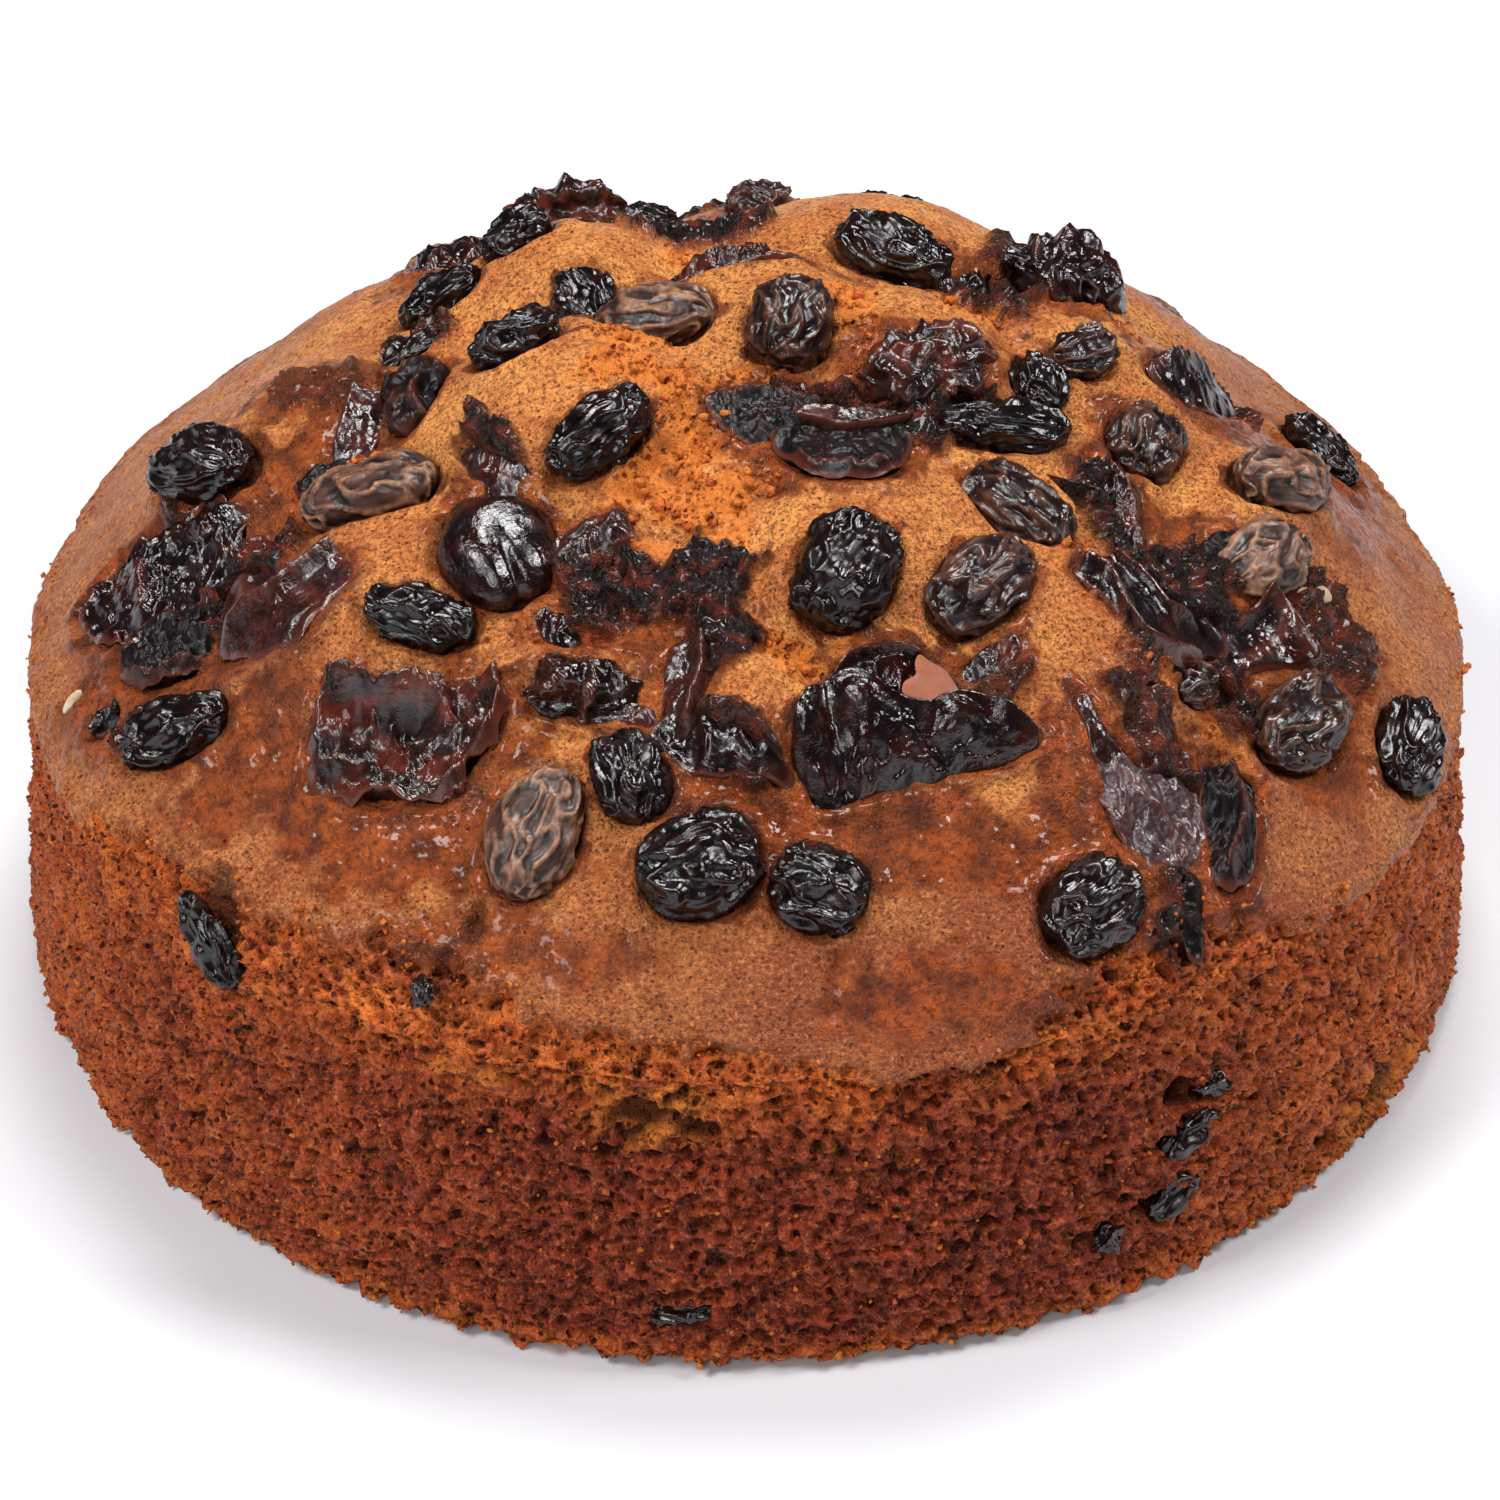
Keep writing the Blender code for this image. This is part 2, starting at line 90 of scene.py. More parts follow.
# %% [markdown]
# Baked crumb and dried fruit are irregular at every scale, so most shapes below are a smooth
# form plus noise. Two kinds are worked out here with numpy for any set of points at once: a
# gradient noise for swellings and wrinkles, and a cell noise for pores.

# %% Noise
CHANCE = np.random.default_rng(11)
SHUFFLE = CHANCE.permutation(256)
SLOPES = CHANCE.normal(size=(256, 3))
SLOPES /= np.linalg.norm(SLOPES, axis=1)[:, None]
SPOTS = CHANCE.random((256, 3))
LUCK = CHANCE.random(256)


def cell_number(cells):
    """A number from 0 to 255 for each whole-number cell, the same each time it is asked."""
    across = SHUFFLE[cells[:, 0] & 255] + cells[:, 1]
    return SHUFFLE[(SHUFFLE[across & 255] + cells[:, 2]) & 255]


def noise(points, size, seed=0.0):
    """Gradient noise from about -1 to 1: each corner of a cell holds a slope, and the heights
    that the slopes give are blended over the cell. Size is the length of a cell."""
    place = points / size + seed * 7.31
    cell = np.floor(place).astype(int)
    inside = place - cell
    blend = inside ** 3 * (inside * (inside * 6.0 - 15.0) + 10.0)
    total = np.zeros(len(points))
    for corner in itertools.product((0, 1), repeat=3):
        weight = np.prod(np.where(corner, blend, 1.0 - blend), axis=1)
        slope = SLOPES[cell_number(cell + corner)]
        total += weight * np.einsum("ij,ij->i", inside - corner, slope)
    return 1.7 * total


def folds(points, size, seed=0.0, sharp=1.5, thin=2.2):
    """Thin ridges where the noise passes through zero: 1 on a ridge, 0 between."""
    return np.clip(1.0 - thin * np.abs(noise(points, size, seed)), 0.0, 1.0) ** sharp


def warp(points, size, seed=0.0):
    """Three noises side by side, to push points about."""
    return np.stack([noise(points, size, seed + 0.1 * step) for step in (1, 2, 3)], axis=1)


def pores(points, size, seed=0.0):
    """Cell noise: the distance to the nearest of the points strewn one to a cell, as a share
    of the cell's length, and a random number that belongs to that point."""
    place = points / size + seed * 5.17
    cell = np.floor(place).astype(int)
    inside = place - cell
    near = np.full(len(points), 9.0)
    lot = np.zeros(len(points))
    for step in itertools.product((-1, 0, 1), repeat=3):
        number = cell_number(cell + step)
        away = np.sum((inside - step - SPOTS[number]) ** 2, axis=1)
        closer = away < near
        near = np.where(closer, away, near)
        lot = np.where(closer, LUCK[number], lot)
    return np.sqrt(near), lot


def smooth(low, high, value):
    """0 below low, 1 above high, and an S-shaped rise between them."""
    share = np.clip((value - low) / (high - low), 0.0, 1.0)
    return share * share * (3.0 - 2.0 * share)


# %% [markdown]
# One helper makes a mesh object from arrays. It puts the points in metres, turns the faces
# outwards, stores the masks as attributes for the materials, parents the piece to the root body
# and hides the part of the model that it replaces.

# %% Mesh helper
def make_piece(name, points, faces, finish, masks=None, node=None):
    """A piece from points in millimetres and a list of face arrays. The faces are turned
    round if the volume they close is negative."""
    triangles = np.concatenate([
        face[:, [0, i, i + 1]] for face in faces for i in range(1, face.shape[1] - 1)
    ])
    a, b, c = (points[triangles[:, i]] for i in range(3))
    if np.einsum("ij,ij->", a, np.cross(b, c)) < 0.0:
        faces = [face[:, ::-1] for face in faces]
    corners = np.concatenate([face.ravel() for face in faces])
    sizes = np.concatenate([np.full(len(face), face.shape[1]) for face in faces])
    mesh = bpy.data.meshes.new(name)
    mesh.vertices.add(len(points))
    mesh.vertices.foreach_set("co", (points * MM).astype(np.float32).ravel())
    mesh.loops.add(len(corners))
    mesh.loops.foreach_set("vertex_index", corners.astype(np.int32))
    mesh.polygons.add(len(sizes))
    mesh.polygons.foreach_set("loop_start", np.concatenate([[0], np.cumsum(sizes)[:-1]]).astype(np.int32))
    for key, values in (masks or {}).items():
        mesh.attributes.new(key, "FLOAT", "POINT").data.foreach_set("value", values.astype(np.float32))
    mesh.update(calc_edges=True)
    mesh.shade_smooth()
    mesh.materials.append(finish)
    piece = bpy.data.objects.new(name, mesh)
    bpy.context.scene.collection.objects.link(piece)
    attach(piece, "root")
    if node:
        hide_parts(node)
    return piece


def tube_faces(rows, columns, start=0):
    """Faces of a closed form: rows of points around it, between a first and a last pole."""
    ring = start + 1 + np.arange(rows * columns).reshape(rows, columns)
    after = np.roll(ring, -1, axis=1)
    quads = np.stack([ring[:-1], after[:-1], after[1:], ring[1:]], axis=-1).reshape(-1, 4)
    first = np.full(columns, start)
    last = np.full(columns, start + 1 + rows * columns)
    caps = np.concatenate([
        np.stack([first, after[0], ring[0]], axis=1),
        np.stack([last, ring[-1], after[-1]], axis=1),
    ])
    return [quads, caps]


# %% [markdown]
# The materials are node trees. These helpers keep them short: each adds one node to a tree,
# sets its inputs, and gives back the output.

# %% Node helpers
def fill(tree, socket, value):
    """Link an output to an input socket, or set a plain value. A colour of three gets its alpha."""
    if isinstance(value, bpy.types.NodeSocket):
        tree.links.new(value, socket)
    elif socket.type == "RGBA" and len(value) == 3:
        socket.default_value = (*value, 1.0)
    else:
        socket.default_value = value


class Wiring:
    """Adds nodes to one tree. An input is named by its label, or by its place as i0, i1 and so on."""

    def __init__(self, tree):
        """Start with the first column of a tree."""
        self.tree = tree
        self.column = 0

    def node(self, kind, output, settings=None, **inputs):
        """One node of a kind, with its settings and inputs. Gives back one of its outputs."""
        made = self.tree.nodes.new(kind)
        made.location = (self.column * 40, (self.column % 7) * -160)
        self.column += 1
        for key, value in (settings or {}).items():
            setattr(made, key, value)
        for key, value in inputs.items():
            by_place = key[0] == "i" and key[1:].isdigit()
            fill(self.tree, made.inputs[int(key[1:]) if by_place else key.replace("_", " ")], value)
        return made.outputs[output]

    def math(self, how, a, b=0.0, c=0.0):
        """Arithmetic on up to three numbers, such as ADD or MULTIPLY."""
        return self.node("ShaderNodeMath", 0, {"operation": how}, i0=a, i1=b, i2=c)

    def ramp(self, value, low, high, bottom=0.0, top=1.0):
        """An S-shaped step from bottom to top as the value goes from low to high."""
        limits = {"interpolation_type": "SMOOTHSTEP"}
        inputs = {"From_Min": low, "From_Max": high, "To_Min": bottom, "To_Max": top}
        return self.node("ShaderNodeMapRange", 0, limits, Value=value, **inputs)

    def colour(self, share, a, b):
        """A mix of two colours: a where the share is 0, b where it is 1."""
        return self.node("ShaderNodeMix", 2, {"data_type": "RGBA"}, i0=share, i6=a, i7=b)

    def place(self):
        """The place of a point on the piece, in metres."""
        return self.node("ShaderNodeTexCoord", "Object")

    def noise(self, place, size, detail=2.0, roughness=0.5):
        """Noise with features of a size in millimetres."""
        scale = 1.0 / (size * MM)
        return self.node("ShaderNodeTexNoise", 0, Vector=place, Scale=scale, Detail=detail,
                         Roughness=roughness)

    def cells(self, place, size):
        """Distance to the nearest of the points strewn one to a cell of a size in millimetres."""
        return self.node("ShaderNodeTexVoronoi", 0, Vector=place, Scale=1.0 / (size * MM))

    def mask(self, name):
        """A mask stored with the mesh."""
        return self.node("ShaderNodeAttribute", "Fac", {"attribute_name": name})

    def bump(self, height, depth, strength=1.0):
        """A normal bent by a height of a depth in millimetres."""
        return self.node("ShaderNodeBump", 0, Height=height, Distance=depth * MM, Strength=strength)


def new_group(name, inputs):
    """An empty shader node group that gives a height and a tone, and its wiring."""
    group = bpy.data.node_groups.new(name, "ShaderNodeTree")
    for key in inputs:
        kind = "NodeSocketVector" if key == "Place" else "NodeSocketFloat"
        group.interface.new_socket(key, in_out="INPUT", socket_type=kind)
    for key in ("Height", "Tone"):
        group.interface.new_socket(key, in_out="OUTPUT", socket_type="NodeSocketFloat")
    source = group.nodes.new("NodeGroupInput")
    sink = group.nodes.new("NodeGroupOutput")
    return group, Wiring(group), source.outputs, sink.inputs


def use_group(wiring, group, **inputs):
    """Height and tone from a node group."""
    made = wiring.tree.nodes.new("ShaderNodeGroup")
    made.node_tree = group
    for key, value in inputs.items():
        fill(wiring.tree, made.inputs[key], value)
    return made.outputs["Height"], made.outputs["Tone"]


def new_finish(name, **fixed):
    """A material with a Principled shader: fixed values are set on its own sockets."""
    finish = bpy.data.materials.new(name)
    finish.use_nodes = True
    shader = finish.node_tree.nodes["Principled BSDF"]
    for key, value in fixed.items():
        shader.inputs[key.replace("_", " ")].default_value = value
    return finish, Wiring(finish.node_tree), shader


def feed(wiring, shader, **inputs):
    """Link outputs to the shader's sockets, or set them."""
    for key, value in inputs.items():
        fill(wiring.tree, shader.inputs[key.replace("_", " ")], value)


# %% [markdown]
# Everything on this cake is covered with fine grain: the crust with sugar and crumb, the fruit
# with tiny leather-like wrinkles. One group gives it, as a height for the bump and as a value
# that lightens the tops and darkens the hollows.

# %% Fine grain group
def build_fine_grain():
    """Grain of a size in millimetres with pin pricks in it, spaced a few grains apart."""
    group, w, given, out = new_group("fine_grain", ("Place", "Size", "Pits"))
    scale = w.math("DIVIDE", 1.0 / MM, given["Size"])
    grain = w.node("ShaderNodeTexNoise", 0, Vector=given["Place"], Scale=scale, Detail=3.0, Roughness=0.65)
    pit_scale = w.math("MULTIPLY", scale, 0.4)
    away = w.node("ShaderNodeTexVoronoi", 0, Vector=given["Place"], Scale=pit_scale)
    pit = w.math("MULTIPLY", w.ramp(away, 0.06, 0.24, 1.0, 0.0), given["Pits"])
    height = w.math("SUBTRACT", grain, pit)
    w.tree.links.new(height, out["Height"])
    w.tree.links.new(w.ramp(height, 0.3, 0.7), out["Tone"])
    return group


fine_grain = build_fine_grain()

# %% [markdown]
# Open crumb looks like a sponge: bubbles of two sizes with thin uneven walls between them. The
# group bends the space with noise first, so that no bubble is round.

# %% Sponge group
def build_sponge():
    """Height and tone of a sponge: noise grain less two sizes of bubbles; the tone, low in the bubbles,
    becomes painted shade.
    """
    group, w, given, out = new_group("sponge", ("Place",))
    place = given["Place"]
    push = w.node("ShaderNodeTexNoise", 1, Vector=place, Scale=1.0 / (0.9 * MM), Detail=2.0)
    push = w.node("ShaderNodeVectorMath", 0, {"operation": "MULTIPLY_ADD"}, i0=push, i1=(1.2 * MM,) * 3,
                  i2=place)
    large = w.cells(push, 1.3)
    small = w.cells(push, 0.65)
    grain = w.noise(place, 0.45, 3.0, 0.7)
    patch = w.ramp(w.noise(place, 3.0), 0.36, 0.5)
    bubbles = w.math("MULTIPLY", w.ramp(large, 0.12, 0.38, 0.8, 0.0), patch)
    fine = w.ramp(w.noise(place, 2.2), 0.42, 0.62, 0.12, 0.55)
    bubbles = w.math("ADD", bubbles, w.math("MULTIPLY", w.ramp(small, 0.12, 0.40, 1.0, 0.0), fine))
    height = w.math("SUBTRACT", grain, bubbles)
    w.tree.links.new(height, out["Height"])
    w.tree.links.new(w.ramp(height, -0.25, 0.62), out["Tone"])
    return group


sponge = build_sponge()

# %% [markdown]
# The cake's skin is orange-brown with a fine darker speckle, redder and glossy where syrup has
# boiled out of the dates, and pale and rough where it has torn. Below the skin the porous crumb
# is orange near the top and foot of the wall and dark brown between; that dark is partly baked
# colour and partly painted shade, most at the front. Painted shade also darkens the hollows, the
# crumb's bubbles, the holes in the wall and the crust under the fruit. The masks are worked out
# with the shape, so that colour and form agree.

# %% Crust finish
def build_crust():
    """The colour is built up in layers, each laid over the last by its own mask."""
    finish, w, shader = new_finish("baked_crust_detail", Specular_IOR_Level=0.30, Coat_Roughness=0.08,
                                   Coat_IOR=1.5)
    place = w.place()
    syrup, crumb, torn = w.mask("syrup"), w.mask("crumb"), w.mask("torn")
    flesh, bake_and_shade, painted_shade = w.mask("flesh"), w.mask("bake_and_shade"), w.mask("painted_shade")
    height, tone = use_group(w, fine_grain, Place=place, Size=0.40, Pits=0.35)
    holes, hole_shade = use_group(w, sponge, Place=place)
    cloud = w.ramp(w.noise(place, 8.0, 4.0, 0.6), 0.36, 0.64)
    skin = w.colour(cloud, (1.0, 0.400, 0.098), (0.76, 0.240, 0.057))
    skin = w.colour(bake_and_shade, skin, (0.36, 0.088, 0.028))
    blotch = w.ramp(w.noise(place, 1.6, 3.0, 0.6), 0.45, 0.72, 0.0, 0.40)
    skin = w.colour(blotch, skin, (0.36, 0.075, 0.022))
    grit = w.noise(place, 0.62, 2.0, 0.75)
    skin = w.colour(w.ramp(grit, 0.37, 0.54, 0.62, 0.0), skin, (0.20, 0.046, 0.014))
    skin = w.colour(w.ramp(grit, 0.55, 0.68, 0.0, 0.34), skin, (0.92, 0.42, 0.17))
    skin = w.colour(w.ramp(tone, 0.0, 0.4, 0.75, 0.0), skin, (0.10, 0.018, 0.006))
    light = w.colour(w.ramp(w.noise(place, 2.6, 3.0), 0.35, 0.65), (0.66, 0.110, 0.016), (0.92, 0.225, 0.034))
    dark = w.colour(w.ramp(w.noise(place, 1.8, 3.0), 0.35, 0.65), (0.22, 0.027, 0.009), (0.46, 0.062, 0.016))
    # On the wall this mask is partly baked colour and partly painted shade, darkest at the front.
    inner = w.colour(bake_and_shade, light, dark)
    inner = w.colour(w.ramp(w.noise(place, 8.0, 3.0, 0.6), 0.44, 0.66, 0.0, 0.42), inner,
                     (0.17, 0.020, 0.007))
    inner = w.colour(w.ramp(grit, 0.34, 0.52, 0.60, 0.0), inner, (0.13, 0.018, 0.005))
    inner = w.colour(w.ramp(grit, 0.54, 0.66, 0.0, 0.42), inner, (0.95, 0.26, 0.055))
    # Painted shade: the crumb is darkened inside the sponge's bubbles.
    inner = w.colour(w.ramp(hole_shade, 0.0, 0.62, 0.95, 0.0), inner, (0.050, 0.006, 0.002))
    base = w.colour(crumb, skin, inner)
    # Torn crumb: dark in the bubbles and pale on the walls between, painted as shade and light.
    bit = w.colour(w.ramp(hole_shade, 0.1, 0.9), (0.34, 0.058, 0.008), (0.82, 0.240, 0.034))
    base = w.colour(torn, base, bit)
    boil = w.noise(place, 0.9, 2.0, 0.6)
    glaze = w.colour(w.ramp(w.noise(place, 3.4, 3.0), 0.28, 0.70), (0.080, 0.009, 0.002),
                     (0.45, 0.085, 0.011))
    glaze = w.colour(w.ramp(boil, 0.36, 0.54, 0.62, 0.0), glaze, (0.055, 0.006, 0.0018))
    base = w.colour(w.ramp(syrup, 0.08, 0.70, 0.0, 0.90), base, glaze)
    pulp = w.colour(w.ramp(w.noise(place, 2.4, 3.0), 0.44, 0.74), (0.010, 0.0025, 0.002),
                    (0.17, 0.024, 0.008))
    base = w.colour(flesh, base, pulp)
    # Painted shade: the pores, the holes in the wall and the crust under the fruit are darkened.
    base = w.colour(w.math("MULTIPLY", painted_shade, 0.8), base, (0.030, 0.006, 0.003))
    wet = w.math("MAXIMUM", syrup, flesh)
    patchy = w.ramp(w.noise(place, 1.4, 2.0), 0.4, 0.6)
    roughness = w.node("ShaderNodeMapRange", 0, Value=w.math("MULTIPLY", wet, patchy), To_Min=0.42,
                       To_Max=0.12)
    open_crumb = w.math("MAXIMUM", crumb, torn)
    skin_height = w.math("ADD", w.math("MULTIPLY", height, 1.1),
                         w.math("MULTIPLY", w.math("MULTIPLY", boil, wet), 0.5))
    relief_height = w.node("ShaderNodeMix", 0, i0=open_crumb, i2=skin_height, i3=holes)
    feed(w, shader, Base_Color=base, Roughness=roughness, Normal=w.bump(relief_height, 0.75, 1.0))
    feed(w, shader, Coat_Weight=w.math("MULTIPLY", w.math("MULTIPLY", wet, w.ramp(boil, 0.42, 0.58)), 0.5))
    return finish


crust_finish = build_crust()

# %% [markdown]
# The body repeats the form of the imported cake: a dome on a nearly straight wall, with mounds
# where the batter rose. Its surface is a square grid pressed into a disc for the middle, and
# rings of points around that, so it has no pole on the top.

# %% Body form
FOOT_RADIUS, WALL_LEAN, WALL_POWER = 90.8, 4.2, 1.5
CROWN_RADIUS, CROWN_BASE, CROWN_RISE, CROWN_POWER = 86.6, 39.0, 42.6, 0.96
FOOT_HEIGHT, FOOT_INSET = 3.0, 1.6
OUTLINE_WAVES = ((2, 0.007, 3.1), (4, 0.003, 1.9))
MOUNDS = (
    (-22, -12, 18, 2.6), (-23, 22, 15, 2.8), (3, 4, 15, 2.4), (20, -1, 14, 2.2), (20, 33, 23, 3.2),
    (43, 9, 17, 2.6), (66, -4, 19, 1.8), (15, -36, 16, 2.0), (38, -43, 17, 2.8), (1, -55, 8, 1.2),
    (-45, -34, 17, 1.6), (-62, 6, 21, 2.6), (-50, 38, 20, 0.2), (48, 44, 20, 0.8), (8, 72, 22, 1.0),
)
CREASE_DEPTH, CREASE_BLEND = 3.4, 0.45
FLAT_FROM, FLAT_TO = 66.0, 83.0


def outline(angle):
    """Radius factor of the uneven outline: 1 plus two cosine waves round the cake."""
    return 1.0 + sum(size * np.cos(count * angle + shift) for count, size, shift in OUTLINE_WAVES)


def crown(radius):
    """Height of the smooth dome at a distance from the axis."""
    inside = np.clip(1.0 - (radius / CROWN_RADIUS) ** 2, 0.0, None)
    return CROWN_BASE + CROWN_RISE * inside ** CROWN_POWER


def relief(x, y):
    """Height of the mounds: the soft maximum of one paraboloid each and a level floor, faded
    out towards the rim."""
    total = np.full(np.shape(x), np.exp(-CREASE_DEPTH / CREASE_BLEND))
    for mound_x, mound_y, reach, height in MOUNDS:
        away = np.hypot(x - mound_x, y - mound_y) / reach
        rise = height - (height + CREASE_DEPTH) * away * away
        total += np.exp(np.maximum(rise, -40.0) / CREASE_BLEND)
    return (1.0 - smooth(FLAT_FROM, FLAT_TO, np.hypot(x, y))) * CREASE_BLEND * np.log(total)


def top_height(x, y):
    """Height of the top of the cake at any place: the dome and its mounds."""
    return crown(np.hypot(x, y) / outline(np.arctan2(y, x))) + relief(x, y)


# %% Body grid
DISC_RADIUS = 44.0
DISC_CELLS = 290
RING_COUNT = 4 * DISC_CELLS
BANDS = 4
BAND_ROWS = 82


def disc_grid():
    """A square grid pressed into a disc: a point's share of the half side is its radius, and
    its place along the side is its angle. Gives radius, angle and the faces."""
    side = np.linspace(-1.0, 1.0, DISC_CELLS + 1)
    a, b = np.meshgrid(side, side)
    wide = np.abs(a) > np.abs(b)
    safe_a = np.where(wide, a, 1.0)
    safe_b = np.where(wide | (b == 0.0), 1.0, b)
    angle = np.where(wide, np.pi / 4 * b / safe_a, np.pi / 2 - np.pi / 4 * a / safe_b)
    radius = DISC_RADIUS * np.where(wide, a, b)
    angle = angle + np.where(radius < 0.0, np.pi, 0.0)
    index = np.arange(a.size).reshape(a.shape)
    quads = np.stack([index[:-1, :-1], index[:-1, 1:], index[1:, 1:], index[1:, :-1]], axis=-1)
    return np.abs(radius).ravel(), angle.ravel(), quads.reshape(-1, 4)


def wall_profile():
    """Radius and height down the outside, from the disc's edge to the foot, in even steps."""
    dense = np.linspace(0.0, 1.0, 4001)
    dome = DISC_RADIUS + (CROWN_RADIUS - DISC_RADIUS) * np.sin(0.5 * np.pi * dense)
    wall = CROWN_BASE + (FOOT_HEIGHT - CROWN_BASE) * dense
    foot = 0.5 * np.pi * dense
    radius = np.concatenate([
        dome,
        FOOT_RADIUS - WALL_LEAN * (wall / CROWN_BASE) ** WALL_POWER,
        FOOT_RADIUS - FOOT_INSET * (1.0 - np.cos(foot)),
    ])
    height = np.concatenate([crown(dome), wall, FOOT_HEIGHT * (1.0 - np.sin(foot))])
    step = np.hypot(np.diff(radius), np.diff(height))
    along = np.concatenate([[0.0], np.cumsum(step)])
    even = np.linspace(0.0, along[-1], BANDS * BAND_ROWS + 1)
    return np.interp(even, along, radius), np.interp(even, along, height)


disc_radius, disc_angle, disc_quads = disc_grid()
row_radius, row_height = wall_profile()
rim = np.flatnonzero(disc_radius > DISC_RADIUS - 1e-6)
rim = rim[np.argsort(np.mod(disc_angle[rim] + 1e-9, 2.0 * np.pi))]
ring_angle = np.mod(disc_angle[rim], 2.0 * np.pi)
print("profile rows", len(row_radius), "every",
      round(float(np.hypot(*np.diff([row_radius, row_height])[:, 1])), 3), "mm")

# %% Smooth body points
def body_points():
    """All points of the smooth body and its outward directions: first the disc, then the rows
    below it. On the dome the mounds are added to the height."""
    radius = np.concatenate([disc_radius, np.repeat(row_radius[1:], RING_COUNT)])
    angle = np.concatenate([disc_angle, np.tile(ring_angle, len(row_radius) - 1)])
    level = np.concatenate([crown(disc_radius), np.repeat(row_height[1:], RING_COUNT)])
    x = radius * outline(angle) * np.cos(angle)
    y = radius * outline(angle) * np.sin(angle)
    z = level + np.where(level > CROWN_BASE, relief(x, y), 0.0)
    tilt = np.arctan2(np.gradient(row_height), np.gradient(row_radius))
    dome_tilt = np.arctan2(crown(disc_radius + 0.5) - crown(np.abs(disc_radius - 0.5)), 1.0)
    dome_tilt = np.where(disc_radius < 0.5, 0.0, dome_tilt)
    dome_tilt = np.where(disc_radius > DISC_RADIUS - 1e-6, tilt[0], dome_tilt)
    tilt = np.concatenate([dome_tilt, np.repeat(tilt[1:], RING_COUNT)])
    out = np.stack([-np.sin(tilt) * np.cos(angle), -np.sin(tilt) * np.sin(angle), np.cos(tilt)], axis=1)
    return np.stack([x, y, z], axis=1), out


body, outwards = body_points()
bearing = np.degrees(np.arctan2(body[:, 0], -body[:, 1]))
print("body points", len(body))

# %% [markdown]
# Every topping in the frame gives its own place: the middle of its node's box along its own
# axes. The long axis comes from the spread of its points, or from a stated heading for the
# dates, which have a left and a right end, and the short one points out of the cake.

# %% Places of the toppings
def out_of_cake(x, y, step=3.0):
    """Unit vector out of the top of the cake, from the slope of its height."""
    slope_x = (top_height(x + step, y) - top_height(x - step, y)) / (2.0 * step)
    slope_y = (top_height(x, y + step) - top_height(x, y - step)) / (2.0 * step)
    out = np.stack([-slope_x, -slope_y, np.ones_like(slope_x)], axis=-1)
    return out / np.linalg.norm(out, axis=-1, keepdims=True)


def axes_of(out, along):
    """Three unit axes: along, across and out, with along turned square to out."""
    across = np.cross(out, along)
    across /= np.linalg.norm(across)
    return np.array([np.cross(across, out), across, out])


def place_on_top(x, y, heading, half_sizes, depth):
    """The place of a piece that is not in the frame, with its lowest point a depth down."""
    turn = np.radians(heading)
    axes = axes_of(out_of_cake(x, y), np.array([np.cos(turn), np.sin(turn), 0.0]))
    middle = np.array([x, y, float(top_height(x, y))]) + axes[2] * (half_sizes[2] - depth)
    return {"middle": middle, "axes": axes, "half": np.array(half_sizes, float)}


def place_of_node(name, heading=None, wall=False):
    """Middle, axes and half sizes of a node, in its own directions."""
    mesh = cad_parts[name].data
    points = np.empty(3 * len(mesh.vertices))
    mesh.vertices.foreach_get("co", points)
    points = points.reshape(-1, 3) / MM
    centre = 0.5 * (points.min(axis=0) + points.max(axis=0))
    out = out_of_cake(*centre[:2])
    if wall:
        out = np.array([centre[0], centre[1], 0.0]) / np.hypot(*centre[:2])
    spread = np.linalg.svd(points - centre, full_matrices=False)[2][0]
    turn = np.radians(heading or 0.0)
    along = spread if heading is None else np.array([np.cos(turn), np.sin(turn), 0.0])
    axes = axes_of(out, along)
    local = (points - centre) @ axes.T
    low, high = local.min(axis=0), local.max(axis=0)
    return {"middle": centre + 0.5 * (low + high) @ axes, "axes": axes, "half": 0.5 * (high - low)}


def put(points, place):
    """Local points, in millimetres about the middle, moved to their place on the cake."""
    return points @ place["axes"] + place["middle"]


WALL_NODES = ("raisin_black_21",)
DATE_HEADINGS = {
    "date_skin_01": 84, "date_skin_02": -13, "date_skin_03": -12, "date_skin_04": 9, "date_skin_05": -80,
    "date_skin_06": -46, "date_skin_07": 46, "date_skin_08": -72, "date_skin_09": 26, "date_skin_10": 4,
    "date_skin_11": 82, "date_skin_12": 136, "date_skin_13": 172, "date_skin_14": 20, "date_skin_15": 140,
    "date_piece_01": -14, "date_piece_02": 22, "date_piece_03": 86, "date_piece_04": 40, "date_piece_05": 4,
    "date_piece_06": 84, "date_piece_07": 15, "date_piece_08": -10, "date_half_01": 3, "date_half_02": -58,
}
places = {name: place_of_node(name, DATE_HEADINGS.get(name), name in WALL_NODES) for name in NODES}
print("raisin_black_01", places["raisin_black_01"]["half"].round(2),
      places["raisin_black_01"]["middle"].round(1))

# %% [markdown]
# The hidden back of the cake carries the same fruit as the front. These raisins lie beyond the
# top of the dome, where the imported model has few, and some small dark ends of fruit show
# between the big ones at the front.

# %% More fruit
MORE_RAISINS = (
    # kind, x, y, heading, length, width, depth
    ("brown", -24.0, 80.5, 5, 11.6, 8.2, 3.0), ("black", 27.0, 80.0, -20, 12.8, 8.4, 3.0),
    ("black", -52.0, 67.0, 160, 11.4, 7.4, 3.0), ("tan", 54.0, 66.0, 140, 12.0, 7.6, 3.2),
    ("brown", 50.0, -42.0, 35, 7.5, 4.6, 1.8), ("black", -39.0, 10.8, 20, 9.5, 5.6, 2.4),
    ("black", 27.2, 15.2, 65, 7.6, 4.6, 2.2), ("black", -73.0, -31.0, 40, 5.0, 3.4, 1.4),
)
more_places = [
    (kind, place_on_top(x, y, heading, (length / 2, width / 2, 0.36 * width), depth))
    for kind, x, y, heading, length, width, depth in MORE_RAISINS
]


